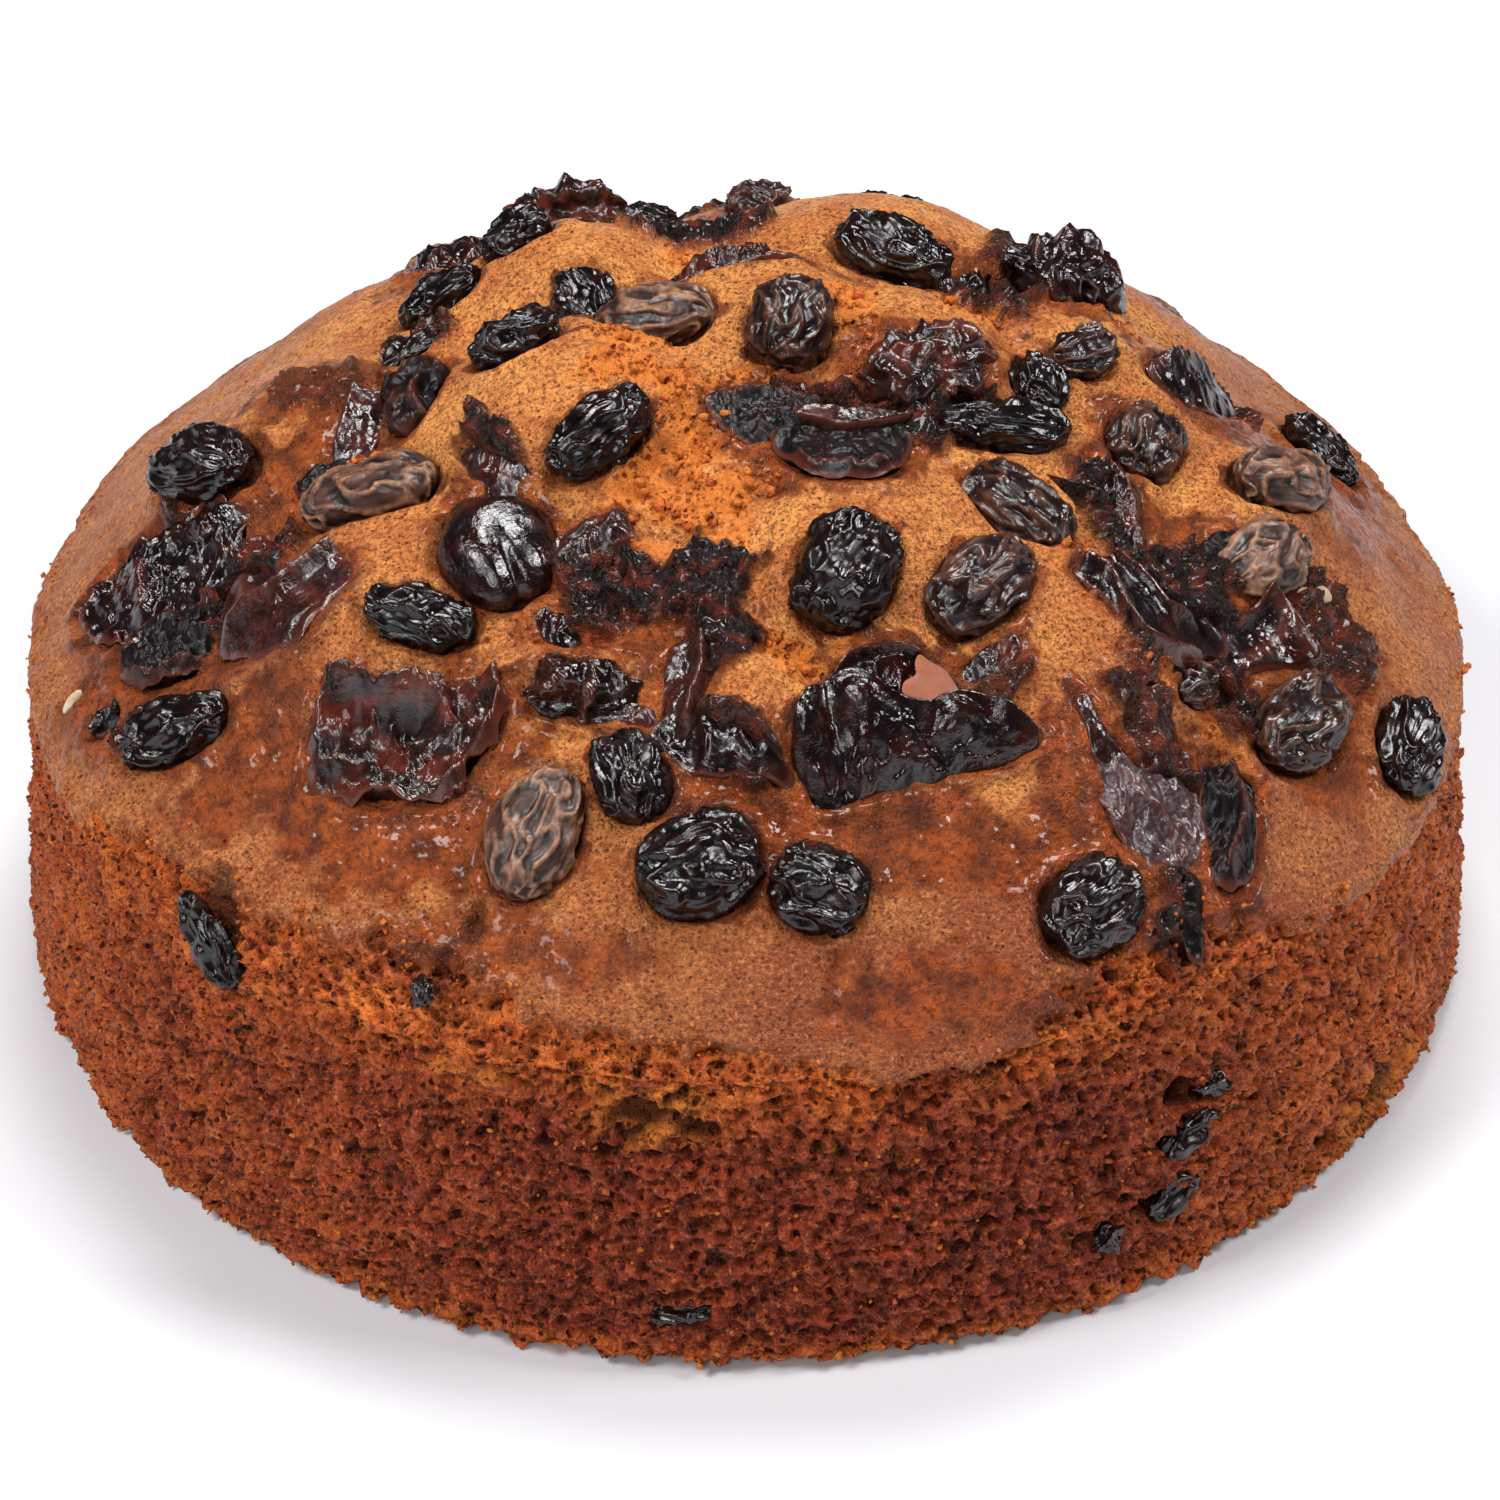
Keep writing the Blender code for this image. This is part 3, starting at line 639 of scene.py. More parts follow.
def place_on_wall(around, level, tilt, half_sizes, depth):
    """A place on the wall: its bearing from the front, its height, the tilt of the long axis
    and how deep it lies."""
    turn, lean = np.radians(around), np.radians(tilt)
    out = np.array([np.sin(turn), -np.cos(turn), 0.0])
    along = np.array([np.cos(turn) * np.cos(lean), np.sin(turn) * np.cos(lean), np.sin(lean)])
    middle = out * (FOOT_RADIUS - WALL_LEAN * (level / CROWN_BASE) ** WALL_POWER + half_sizes[2] - depth)
    return {"middle": middle + [0.0, 0.0, level], "axes": axes_of(out, along),
            "half": np.array(half_sizes, float)}


WALL_RAISINS = (
    # kind, bearing, height, tilt, length, width, depth
    ("black", 33.6, 20.0, 28, 8.6, 3.4, 3.4), ("black", 32.2, 12.4, 26, 8.2, 3.2, 3.3),
    ("black", 26.6, 10.4, 60, 3.4, 3.2, 2.6), ("black", 36.0, 24.6, -35, 4.6, 2.8, 3.6),
    ("black", -4.6, 8.2, 6, 8.0, 2.6, 2.9), ("black", -23.4, 44.4, 70, 3.6, 2.4, 1.9),
    ("brown", 142.0, 24.0, 20, 10.0, 5.4, 3.2), ("black", 205.0, 31.0, -40, 11.8, 5.6, 3.0),
    ("black", 172.0, 14.0, 10, 7.0, 3.2, 3.1), ("black", 118.0, 11.0, 35, 6.0, 3.2, 3.0),
    ("brown", -108.0, 26.0, -15, 8.8, 4.2, 3.6),
)
more_places += [
    (kind, place_on_wall(around, level, tilt, (length / 2, width / 2, 0.36 * width + 0.6), depth))
    for kind, around, level, tilt, length, width, depth in WALL_RAISINS
]
print("more raisins", len(more_places))

# %% [markdown]
# Marks on the cake are soft-edged ellipses. Each has a middle, two half widths, a heading and a
# strength, and a slow noise bends its edge. Syrup lies around the dates, pulp is smeared between them,
# and the skin is torn where mounds have pulled apart.

# %% Marks on the top
SYRUP_MARKS = (
    # x, y, half width, half height, heading, strength
    (-37, -55, 15, 11, -13, 0.9), (-30, -63, 12, 5, -20, 0.9), (-62, -20, 16, 17, 0, 0.9),
    (-48, 3, 6, 13, 80, 0.7), (-3, -61, 9, 4, 0, 0.9), (18, -66, 19, 3.4, 4, 0.8),
    (49, -29, 11, 11, 0, 1.0), (66, -27, 8, 11, 10, 0.8), (41, -15, 4, 10, 0, 0.8),
    (47, -58, 9, 13, 15, 0.9), (17, -9, 13, 6, 20, 0.9), (8, -21, 12, 9, 0, 0.7), (34, 16, 13, 10, 20, 0.9),
    (-3, 11, 15, 4, 4, 0.8), (-5, 30, 9, 5, 0, 0.9), (-21, 46, 12, 7, 0, 0.8), (70, 0, 8, 12, 20, 0.5),
    (-28, -73, 20, 4, -16, 0.55), (54, -70, 8, 6, 30, 0.5), (-12, -42, 14, 7, -10, 0.8),
    (24, -79, 15, 4.6, 6, 0.9), (15, -64, 21, 5, 2, 1.0), (-72, -28, 8, 12, 20, 0.8),
    (-55, -46, 9, 9, 0, 0.7), (2, -68, 18, 3, 0, 0.5), (36, -58, 6, 9, 0, 0.8), (57, -38, 6, 5, 20, 1.0),
    (72, 14, 8, 12, 20, 0.7), (58, 6, 9, 6, 30, 0.8), (-45, -4, 6, 9, 80, 0.8), (-52, -32, 10, 4, 20, 0.8),
    (-38, 36, 8, 8, 0, 0.7), (38, 68, 11, 9, 0, 0.8), (3, 80, 10, 6, 0, 0.8), (-40, 66, 9, 7, 20, 0.5),
    (0, 57, 8, 6, 0, 0.6), (14, 68, 12, 8, 10, 0.5), (55, 48, 8, 10, 0, 0.5), (-62, 52, 9, 8, 0, 0.6),
    (66, -42, 7, 6, 0, 0.6),
)
TORN_MARKS = (
    # x, y, half width, half height, heading, strength
    (-9, -12, 12, 3.2, 4, 1.0), (-7, -22, 10, 4.5, 42, 1.0), (-3, -28, 7, 4, 20, 1.0),
    (11.5, -1, 3.6, 6, 0, 0.9), (-14, -35, 7, 2, 5, 0.8), (4, -47.5, 5, 1.8, -30, 1.0),
    (36, -29, 2.2, 6, 30, 0.8), (53, -47, 5, 2, -45, 0.9), (28, 6, 6, 2.5, 40, 0.8),
    (44, 13, 4, 2.6, 0, 0.7), (-12, -5.5, 6, 1.8, -8, 0.9), (-45, -11.5, 4, 2.4, 10, 0.8),
    (10, -49, 8, 1.8, 8, 0.8), (-6, 22, 6, 3, 30, 0.6), (22, 58, 8, 2.6, 20, 0.7),
    (-48, 58, 7, 2.4, -30, 0.7), (46, -44, 4, 2, 40, 0.7), (-20, -43, 6, 1.6, 0, 0.6),
    (-2, -36, 5, 2, 60, 0.8),
)
PULP_MARKS = (
    # x, y, half width, half height, heading, strength
    (-5, -40, 7.0, 5.5, -14, 1.0), (-14, -39.5, 7.0, 4.5, -4, 1.0), (-3, -46, 4.5, 6, 0, 1.0),
    (-50, 5, 4, 6, 60, 0.6), (-60, -21, 8, 7, 0, 1.0), (-68, -14, 6, 8, 20, 0.9),
    (55, -22.4, 5, 2.4, 10, 1.0), (67, -23, 5.5, 7.5, 12, 0.9), (49, -28, 7, 5.5, -30, 1.0),
    (45, -37, 7, 5.5, -40, 1.0), (52, -39, 6.5, 4.5, 10, 1.0), (41, -21, 3.6, 6.5, 10, 1.0),
    (-28, -20, 2.2, 6, 35, 1.0), (-6, 29, 9, 4.5, 0, 1.0), (-39, 11, 5, 3, 0, 0.9),
    (44, -50, 4, 5, 30, 0.9), (46, -66, 2.4, 5.0, 0, 1.0), (-2, -58, 5, 2.6, -30, 0.9),
    (27, -50, 4, 2, 30, 0.8), (22, -14, 7, 4, 10, 1.0), (31, 12, 7, 4.5, 30, 1.0), (0, 76, 9, 5, 0, 1.0),
    (-66, -36, 5, 3, 0, 0.8), (8, -14, 6, 3, 0, 0.9), (56, 12, 7, 3.4, 30, 0.9), (34, 25, 8, 4.0, 20, 0.9),
    (-21, 45, 8, 4, 0, 0.9), (20, 62, 7, 4, 30, 0.9), (-34, 70, 7, 5, -20, 0.9),
)


def marks(points, table, soft=0.35, uneven=0.35):
    """The strongest mark at each point: 1 inside its ellipse, falling to 0 across its edge."""
    bend = uneven * (noise(points, 6.0, 3.0) + 0.6 * noise(points, 2.2, 4.0) + 0.3 * noise(points, 0.9, 5.0))
    found = np.zeros(len(points))
    for x, y, wide, high, heading, strength in table:
        turn = np.radians(heading)
        dx, dy = points[:, 0] - x, points[:, 1] - y
        a = (dx * np.cos(turn) + dy * np.sin(turn)) / wide
        b = (dy * np.cos(turn) - dx * np.sin(turn)) / high
        away = np.hypot(a, b) + bend
        found = np.maximum(found, strength * smooth(1.0 + soft, 1.0 - soft, away))
    return found


on_top = smooth(36.0, 46.0, body[:, 2])
syrup = on_top * marks(body, SYRUP_MARKS, 0.45, 0.5)
torn = on_top * marks(body, TORN_MARKS, 0.2, 0.55)
pulp = on_top * marks(body, PULP_MARKS, 0.12, 0.4)
print("share of points with syrup", round(float((syrup > 0.3).mean()), 3))

# %% [markdown]
# The skin of the top ends in a ragged line on the shoulder, where the tin began, and below it
# the crumb is open. The line is higher on the left of the front than in its middle.

# %% Skin and crumb
SKIN_EDGE = (
    (-180, 42), (-120, 43), (-85, 38), (-66, 37), (-57, 41), (-48, 42.5), (-41, 43.5), (-28, 45.5),
    (-22, 45), (-18, 43.5), (-10, 42), (-3, 41.5), (4, 40), (8, 38.5), (15, 39), (21, 39.5), (24, 43),
    (30, 44.5), (37, 44), (44, 40), (50, 38), (60, 36), (85, 38), (120, 43), (180, 42),
)
edge_height = np.interp(bearing, *np.array(SKIN_EDGE, float).T)
edge_height += 0.9 * noise(body, 14.0, 8.0) + 1.4 * noise(body, 4.0, 9.0) + 1.0 * noise(body, 1.5, 10.0)
crumb = smooth(0.7, -0.7, body[:, 2] - edge_height)

# Where the wall is dark, partly baked colour and partly painted shade: most at its lower front,
# nearly none at its right and its foot
DARK_WALL = (
    (-180, 0.5), (-80, 0.35), (-55, 0.5), (-30, 0.8), (-10, 1.0), (25, 1.0), (38, 0.6), (50, 0.25),
    (90, 0.2), (140, 0.5), (180, 0.5),
)
wall_bake_and_shade = np.interp(bearing, *np.array(DARK_WALL, float).T)
wall_bake_and_shade *= smooth(43.0, 28.0, body[:, 2] + 4.0 * noise(body, 11.0, 12.0)) * smooth(1.5, 5.5, body[:, 2])
wall_bake_and_shade = np.clip(wall_bake_and_shade + 0.25 * noise(body, 7.0, 13.0), 0.0, 1.0)
top_bake = smooth(50.0, 82.0, np.hypot(body[:, 0], body[:, 1]) + 8.0 * noise(body, 15.0, 14.0))
top_bake *= np.interp(bearing, (-180, -60, -20, 0, 40, 60, 180), (0.7, 0.6, 0.65, 0.9, 1.0, 0.6, 0.7))
# The wall's share of this mask is partly painted shade.
bake_and_shade = np.where(crumb > 0.5, wall_bake_and_shade, np.clip(top_bake + 0.18 * noise(body, 5.0, 15.0), 0.0, 1.0))
print("share of points in open crumb", round(float((crumb > 0.5).mean()), 3))

# %% Wall marks
WALL_HOLES = (
    # bearing, height, half width, half height, depth
    (33.0, 26.0, 1.9, 2.6, 4.0), (35.5, 24.5, 1.8, 1.8, 3.0), (32.5, 20.0, 3.0, 1.2, 1.6),
    (30.5, 12.5, 3.0, 1.2, 1.6), (26.5, 10.5, 1.4, 1.5, 1.6), (-50.0, 9.0, 1.8, 1.6, 3.0),
    (48.0, 6.5, 1.8, 1.3, 3.0), (-22.0, 48.0, 1.4, 1.6, 1.4), (-7.0, 34.0, 4.2, 2.2, 2.6),
    (-3.0, 32.5, 2.6, 1.6, 2.4), (56.0, 6.0, 7.0, 3.4, 1.8), (-4.5, 8.0, 3.4, 1.5, 1.4),
    (128.0, 22.0, 2.4, 2.0, 3.0), (170.0, 14.0, 2.0, 1.6, 2.6), (-140.0, 30.0, 2.6, 1.8, 2.6),
    (-100.0, 12.0, 2.0, 1.6, 2.4), (95.0, 30.0, 2.2, 2.2, 2.6),
)
WALL_TORN = ((-6.0, 34.5, 9.0, 3.6), (56.0, 6.5, 10.0, 5.0), (-20.0, 36.0, 5.0, 1.4),
             (150.0, 34.0, 9.0, 4.0), (-120.0, 7.0, 9.0, 4.0))


def wall_away(at, level, wide, high):
    """Distance from a mark on the wall as a share of its half sizes."""
    turn = np.mod(bearing - at + 180.0, 360.0) - 180.0
    return np.hypot(np.radians(turn) * 89.0 / wide, (body[:, 2] - level) / high)


ragged = 0.30 * noise(body, 2.4, 16.0) + 0.18 * noise(body, 1.0, 17.0)
wall_hole = np.zeros(len(body))
for at, level, wide, high, depth in WALL_HOLES:
    share = smooth(1.15, 0.55, wall_away(at, level, wide, high) + ragged)
    wall_hole = np.maximum(wall_hole, depth * share)
for at, level, wide, high in WALL_TORN:
    torn = np.maximum(torn, 0.8 * smooth(1.1, 0.7, wall_away(at, level, wide, high) + 1.6 * ragged))

# %% [markdown]
# Date skin is a thin leathery sheet that clings to the cake. Each piece is told by its outline,
# how high its middle and its rim lie, how crumpled it is, and by the ridges that stand on it.
# The big ones are measured from the middle of their own node, the scraps between them from the
# middle of the cake.

# %% Sheet tables
def closed_line(corners, count):
    """A smooth closed line through given corners: even steps along them, each averaged with
    its neighbours over a sixteenth of the way round."""
    loop = np.concatenate([corners, corners[:1]])
    walked = np.concatenate([[0.0], np.cumsum(np.hypot(*np.diff(loop, axis=0).T))])
    even = np.linspace(0.0, walked[-1], 8 * count, endpoint=False)
    line = np.stack([np.interp(even, walked, column) for column in loop.T], axis=1)
    reach = 8 * count // 32
    padded = np.concatenate([line[-reach:], line, line[:reach]])
    share = np.full(2 * reach + 1, 1.0 / (2 * reach + 1))
    return np.stack([np.convolve(column, share, "valid") for column in padded.T], axis=1)[::8]


def strip_corners(rows):
    """The outline of a strip from rows of x, y and half width along it."""
    rows = np.asarray(rows, float)
    ahead = np.gradient(rows[:, :2], axis=0)
    ahead /= np.linalg.norm(ahead, axis=1)[:, None]
    side = np.stack([-ahead[:, 1], ahead[:, 0]], axis=1) * rows[:, 2:]
    return np.concatenate([rows[:, :2] + side, (rows[:, :2] - side)[::-1]])


SHEET_COLUMNS = 112
DATE_SKINS = {
    # finish, height of the middle, of the rim, rumple, outline, ridges of (width, height, path)
    "date_skin_01": ("wine", 0.7, 0.1, 0.7, (
        (-2.2, 5.4), (0.8, 6), (2.5, 4), (2.3, 0), (0.8, -4), (-0.7, -6.5), (-3.2, -5.5), (-3.7, -1),
        (-3.2, 3)),
        ((0.8, 2.2, ((1.0, 5), (1.0, 0), (-0.6, -4.5))),)),
    "date_skin_02": ("pulp", -2.4, 0.4, 2.4, (
        (-10.2, 7.7), (-10, 9), (-8, 8.1), (-4.5, 6.9), (-1.5, 6.3), (2.5, 5.9), (5.4, 5.1), (7.3, 5.4),
        (10.7, 5.6), (11.3, 2.6), (10.9, -0.2), (9.1, -3), (6.9, -5.3), (5, -6.6), (3.8, -6.2), (0, -4.8),
        (-1.9, -4.7), (-4.8, -3.7), (-7.8, -1.6), (-10.7, -0.3), (-11, 1.5), (-10.6, 3.4), (-10.4, 6)),
        ((0.5, 2.6, ((10.3, 4.8), (10.8, 2.1), (10.3, -0.5), (8.3, -3.1), (6.4, -4.8), (4.6, -6.1))),
         (1.2, 2.5, ((-1.8, 5.4), (0.8, 5), (3.5, 4.3), (4.7, 3.3))), (0.8, 2.4, ((-9.4, 7.4), (-4.5, 6.4))),
         (1.9, 2.9, ((-9.2, 5.3), (-9, 3.6), (-7.3, 2.6))),
         (0.5, 1.6, ((-10.3, 0.4), (-8.2, 0.7), (-5.9, 0.7), (-4.4, 0.8))),
         (0.8, 1.8, ((4.6, 2), (5.4, 1.8))), (1.4, 1.5, ((2.4, -2.4), (4, -2.8))),
         (0.9, 1.0, ((8, 3.8), (9, 4.2))))),
    "date_skin_03": ("matt", 1.1, 0.2, 1.0, (
        (-8.3, 2.8), (-3.3, 4.8), (2.7, 4.8), (5.7, 3.2), (9.7, 1.2), (7.7, -1.8), (0.7, -2.2),
        (-1.8, -5.2), (-4.8, -3.2), (-6.8, -0.2)), ((0.8, 0.9, ((-6, 2.6), (0, 3.4), (5, 1.6))),)),
    "date_skin_04": ("matt", 1.4, 0.9, 0.8, (
        (-7.9, 6.4), (-4.9, 7.4), (1.1, 7.2), (7.6, 8.9), (8.4, 5.9), (7.4, 1.9), (6.4, -2.6), (3.6, -4.6),
        (-0.9, -4.8), (-4.4, -3.1), (-5.9, 0.9), (-7.9, 3.9)),
        ((0.9, 1.0, ((-5, 0), (-3.5, -2.4), (2, -3.6), (5.4, -1.6))),)),
    "date_skin_05": ("wine", 1.1, 0.1, 1.5, (
        (-0.4, 7), (2.1, 5), (3.1, 1.5), (2.9, -3.5), (3.3, -8.5), (1.1, -8.5), (-0.4, -7.5), (-1.4, -3.5),
        (-2.1, 0.5), (-1.4, 4.5)), ((0.7, 1.0, ((0.4, 5.4), (1.6, 0), (2.2, -7))),)),
    "date_skin_06": ("glossy", 0.2, 0.7, 0.35, (
        (-7.6, 0.8), (-5.9, 2.6), (-2.3, 6.7), (0.9, 7.3), (2.6, 5.3), (4.4, 4.7), (6.7, 5), (9.7, 6.8),
        (10.9, 5.3), (10.7, 2.4), (9.4, -0.7), (7.2, -4), (3.8, -6.8), (0.9, -7.4), (-1.1, -6.2),
        (-2.7, -4.4), (-5.1, -3.1), (-7.7, -1.4)),
        ((0.8, 2.3, ((-6, 0.4), (-3.6, 0.6), (-2.6, -1.8), (-1.5, -4.9), (0.2, -6.4), (3.4, -6),
                     (7.1, -3.5))),
         (1.0, 1.9, ((-2, 5.7), (0.9, 3.9), (3.5, 1.6), (5.9, 2.8))))),
    "date_skin_07": ("glossy", 0.4, 0.6, 0.35, (
        (-4.2, -1.6), (-2.8, 1.6), (0.3, 5.4), (2.2, 6.8), (4, 6.3), (5.1, 4.7), (6.4, 2.6), (8.4, 0.7),
        (6.4, -0.4), (4.1, -0.7), (1.1, -2.1), (-1.3, -4), (-3.1, -5.8), (-4.8, -5.8)),
        ((2.6, 2.6, ((2.6, 5.4), (4.6, 3.6), (6.4, 1.2))),
         (0.6, 0.9, ((2.2, 6), (4.2, 5), (5.6, 3), (7.4, 0.7))),
         (1.6, 0.9, ((-1.3, -3), (1.6, 0.4), (3.6, 3.2))), (0.7, 1.5, ((-2.6, 0.7), (1.9, 5.7))))),
    "date_skin_08": ("grey", 1.1, 0.1, 1.3, (
        (-6, 3.7), (-2.5, 1.7), (1.5, 3), (5.5, 3.4), (6.3, 0.2), (5.8, -3.8), (4, -6.3), (-0.5, -6.5),
        (-4, -4.8), (-6, -1.3)), ((0.8, 0.8, ((-4, 0), (1, -2), (4, -5))),)),
    "date_skin_09": ("glossy", 2.0, 0.2, 1.0, (
        (-6.5, -5.5), (-3, -6.5), (1, -4), (5, 0.5), (7, 4.5), (6, 7), (3, 7.5), (-1, 4.5), (-5, 0),
        (-7, -3.5)),
        ((1.4, 1.4, ((-5.4, -4), (-1, 2), (4, 6.4))),)),
    "date_skin_10": ("pulp", 1.0, 0.0, 1.6, (
        (-9.5, -1.5), (-5, -2.6), (0, -2.8), (5, -2), (8.6, 0.5), (6, 2.8), (0, 3.2), (-5, 2.6),
        (-8.5, 1.2)), ()),
    "date_skin_11": ("wine", 1.5, 0.5, 0.35, (
        (-2.9, -2.5), (-2.3, 1), (-1.4, 5.5), (1, 5.8), (3.1, 5), (3.2, 0), (2.9, -2.5), (2, -5.5),
        (-1, -5.8), (-2.6, -4.8)),
        ((0.8, 1.3, ((-2.3, -3), (-1.6, 1), (-0.6, 4.8))), (0.8, 1.0, ((-0.6, 5), (2.6, 4.4))))),
    "date_skin_12": ("glossy", 1.2, 0.0, 2.2, (
        (-10.2, 6.7), (-4.6, 8.4), (0.6, 7.2), (6.4, 5.2), (9.6, 1.3), (10.2, -4.3), (7.6, -8.3),
        (2.4, -9.8), (-3.6, -8.8), (-7.6, -6.6), (-10.6, -2.3), (-11.8, 2.7)),
        ((1.3, 1.6, ((-7, 2), (-3.4, 0), (-3, -5))),)),
    "date_skin_13": ("matt", 1.0, 0.1, 1.9, (
        (-7.6, 7.1), (-3.6, 8.1), (1.4, 7.1), (4.4, 4.1), (4.9, -0.9), (2.4, -3.9), (-2.6, -3.4),
        (-6.6, -0.9), (-8.1, 3.1)), ((0.8, 1.4, ((-6.4, 0), (-2.4, -2.4), (3, -2.2))),)),
    "date_skin_14": ("wine", 0.3, 0.4, 0.6, (
        (-9.2, 10.8), (-6.7, 11.8), (-4.2, 10.8), (-2.2, 6.8), (-0.7, 4), (3.8, 4.5), (6.8, 1.8),
        (7.5, -2.2), (4.8, -3.7), (0.8, -6), (-3.7, -4.7), (-7.2, -1.7), (-9.7, 1.8), (-9.7, 6.8)),
        ((1.0, 2.6, ((-7.6, 2.2), (-2, 1.8), (4.6, 3.6))), (1.6, 1.8, ((-6.8, 9.6), (-6.4, 4))))),
    "date_skin_15": ("glossy", 1.1, 0.1, 1.6, (
        (-8, -5), (-3, -6.5), (3, -4), (8, 1), (8, 5), (4, 6.5), (-2, 4.5), (-7, 0)), ()),
    "date_piece_03": ("matt", 1.6, 0.2, 1.8, (
        (-3.2, 4.4), (-0.2, 7.4), (3.3, 6.9), (3.8, 4.9), (2.8, 2.4), (3.0, -1.6), (2.0, -5.6), (0.3, -7.9),
        (-2.7, -7.6), (-2.7, -2.6), (-3.4, 1.4)), ((0.8, 1.4, ((0.6, 5.8), (1.6, 0), (-0.4, -6))),)),
}

SCRAPS = {
    # finish, height of the middle, of the rim, rumple, rows of x, y, half width
    "skin_tail_front": ("glossy", 0.9, 0.6, 0.9,
                        ((-9.4, -54.6, 1.8), (-5, -57.6, 2.3), (0, -59.8, 1.7), (5.4, -61, 0.6))),
    "rolled_strip": ("wine", 1.9, 1.0, 0.8, ((-21, -34, 1.4), (-17.4, -33, 2.5), (-12.6, -31.6, 1.9))),
    "pinched_tail": ("wine", 0.9, 0.5, 0.8, ((-32, -18.6, 0.7), (-29, -22.5, 1.7), (-25, -26.6, 2.3))),
    "torn_strip_red": ("wine", 2.8, 2.5, 0.4, ((5.4, -17.6, 0.6), (12, -18.2, 1.1), (19, -15.6, 0.6))),
    "sliver_front": ("pulp", 0.8, 0.6, 0.8, ((23.6, -48.6, 0.7), (27, -47.6, 1.7), (29.8, -45.8, 0.7))),
    "wine_sliver": ("wine", 1.1, 0.8, 0.5, ((36.2, -50, 0.7), (38.6, -53.6, 1.4), (42.4, -54.8, 0.8))),
    "black_tail": ("matt", 0.9, 0.4, 0.9, ((47.6, -61.6, 1.7), (47.8, -65, 1.9), (48.6, -69.4, 0.8))),
    "wine_bit": ("wine", 0.9, 0.4, 1.0,
                 ((18.6, 13.4, 0.8), (24, 14.4, 1.9), (28, 12.4, 1.7), (29.2, 9, 0.6))),
    "knob_right": ("matt", 1.8, 0.8, 1.0, ((51.6, -21, 0.9), (54.4, -19.6, 1.9), (57.2, -17.8, 1.1))),
    "scrap_left": ("matt", 0.6, 0.3, 0.8, ((-74.2, -31.8, 0.7), (-72.6, -32.4, 1.3), (-71, -33.2, 0.6))),
    "scrap_behind_tan": ("matt", 1.2, 0.5, 0.9, ((-52, -11.6, 0.7), (-49.2, -10.8, 1.7), (-45.6, -9.4, 1.0))),
    "leathery_tail": ("wine", 1.0, 0.7, 0.6, ((-18, -53, 0.7), (-13.4, -52.8, 1.3), (-9.2, -54.4, 0.7))),
    "charred_bit": ("matt", 1.0, 0.3, 1.5,
                    ((45.2, -41.4, 0.8), (48.4, -42.6, 1.9), (51.4, -41.6, 2.3), (53.6, -39, 1.4))),
    "husk_sliver": ("pale", 0.5, 0.4, 0.3,
                    ((62.6, -20, 0.35), (64.6, -19.2, 0.7), (66.6, -18.2, 0.9), (68, -17.6, 0.5))),
    "beige_seed": ("pale", 0.7, 0.2, 0.2, ((-79.2, -24.9, 0.4), (-78, -24.5, 0.8), (-76.8, -24.2, 0.4))),
    "scrap_by_pulp": ("glossy", 1.2, 0.5, 1.0, ((-22.4, -40.6, 0.9), (-20.2, -43, 1.9), (-18.4, -45.4, 0.8))),
}

BIG_HALF_OUTLINE = (
    (-11.6, -1.2), (-11.4, -2.9), (-10.6, -4.4), (-8.1, -5.5), (-4.9, -4.9), (-1.9, -3.4), (1.3, -2.6),
    (4.8, -1.5), (7.4, 0), (10.7, 0.9), (14.1, 1.6), (16.3, 3.0), (14.5, 3.9), (10.8, 5), (7.4, 6.7),
    (5, 8.4), (2.8, 9), (0.1, 9.3), (-2.7, 8.9), (-5.5, 8), (-7.6, 6.4), (-9.6, 2.6),
)
FLAKE_OUTLINE = ((2.5, 8.2), (3.5, 7.5), (5.3, 7.0), (7.3, 4.3), (5.9, 3.7), (3.6, 2.6), (0.5, 3.1),
                 (0.6, 4.4), (2.3, 5.7), (1.9, 6.9))

sheet_lines = {
    name: places[name]["middle"][:2] + closed_line(np.array(look[4], float), SHEET_COLUMNS)
    for name, look in DATE_SKINS.items()
}
sheet_lines.update({
    name: closed_line(strip_corners(look[4]), SHEET_COLUMNS) for name, look in SCRAPS.items()
})
half_middle = places["date_half_01"]["middle"][:2]
sheet_lines["date_half_01"] = half_middle + closed_line(np.array(BIG_HALF_OUTLINE), 2 * SHEET_COLUMNS)
print("sheets", len(sheet_lines))

# %% [markdown]
# Crust meets fruit in a small meniscus: it stands up around the fruit by half a millimetre,
# with a narrow gap at the fruit itself that is painted dark as shade, and runs on underneath it.

# %% Seats of the fruit
SEAT_RISE, SEAT_WIDTH = 0.55, 0.8
FRUIT_SINK, SHEET_SINK = 1.2, 4.2
DATE_STAIN, RAISIN_STAIN, SMALL_STAIN = 2.8, 0.9, 0.7
SEAT_REACH, LOWEST_SEAT = 22.0, 30.0


def ellipse_away(points, place):
    """Distance outside the ellipse that a piece covers, measured along the surface."""
    local = (points - place["middle"]) @ place["axes"].T
    half = place["half"]
    away = (np.hypot(local[:, 0] / half[0], local[:, 1] / half[1]) - 1.0) * min(half[0], half[1])
    return np.where(np.abs(local[:, 2]) < half[2] + 4.0, away, 9.0)


def line_away(points, line):
    """Distance outside a closed line, measured along the spoke from its middle."""
    spoke = line - line.mean(axis=0)
    turn = np.arctan2(spoke[:, 1], spoke[:, 0])
    order = np.argsort(turn)
    local = points[:, :2] - line.mean(axis=0)
    bearing_there = np.arctan2(local[:, 1], local[:, 0])
    reach = np.interp(bearing_there, turn[order], np.hypot(*spoke.T)[order], period=2.0 * np.pi)
    return np.hypot(*local.T) - reach


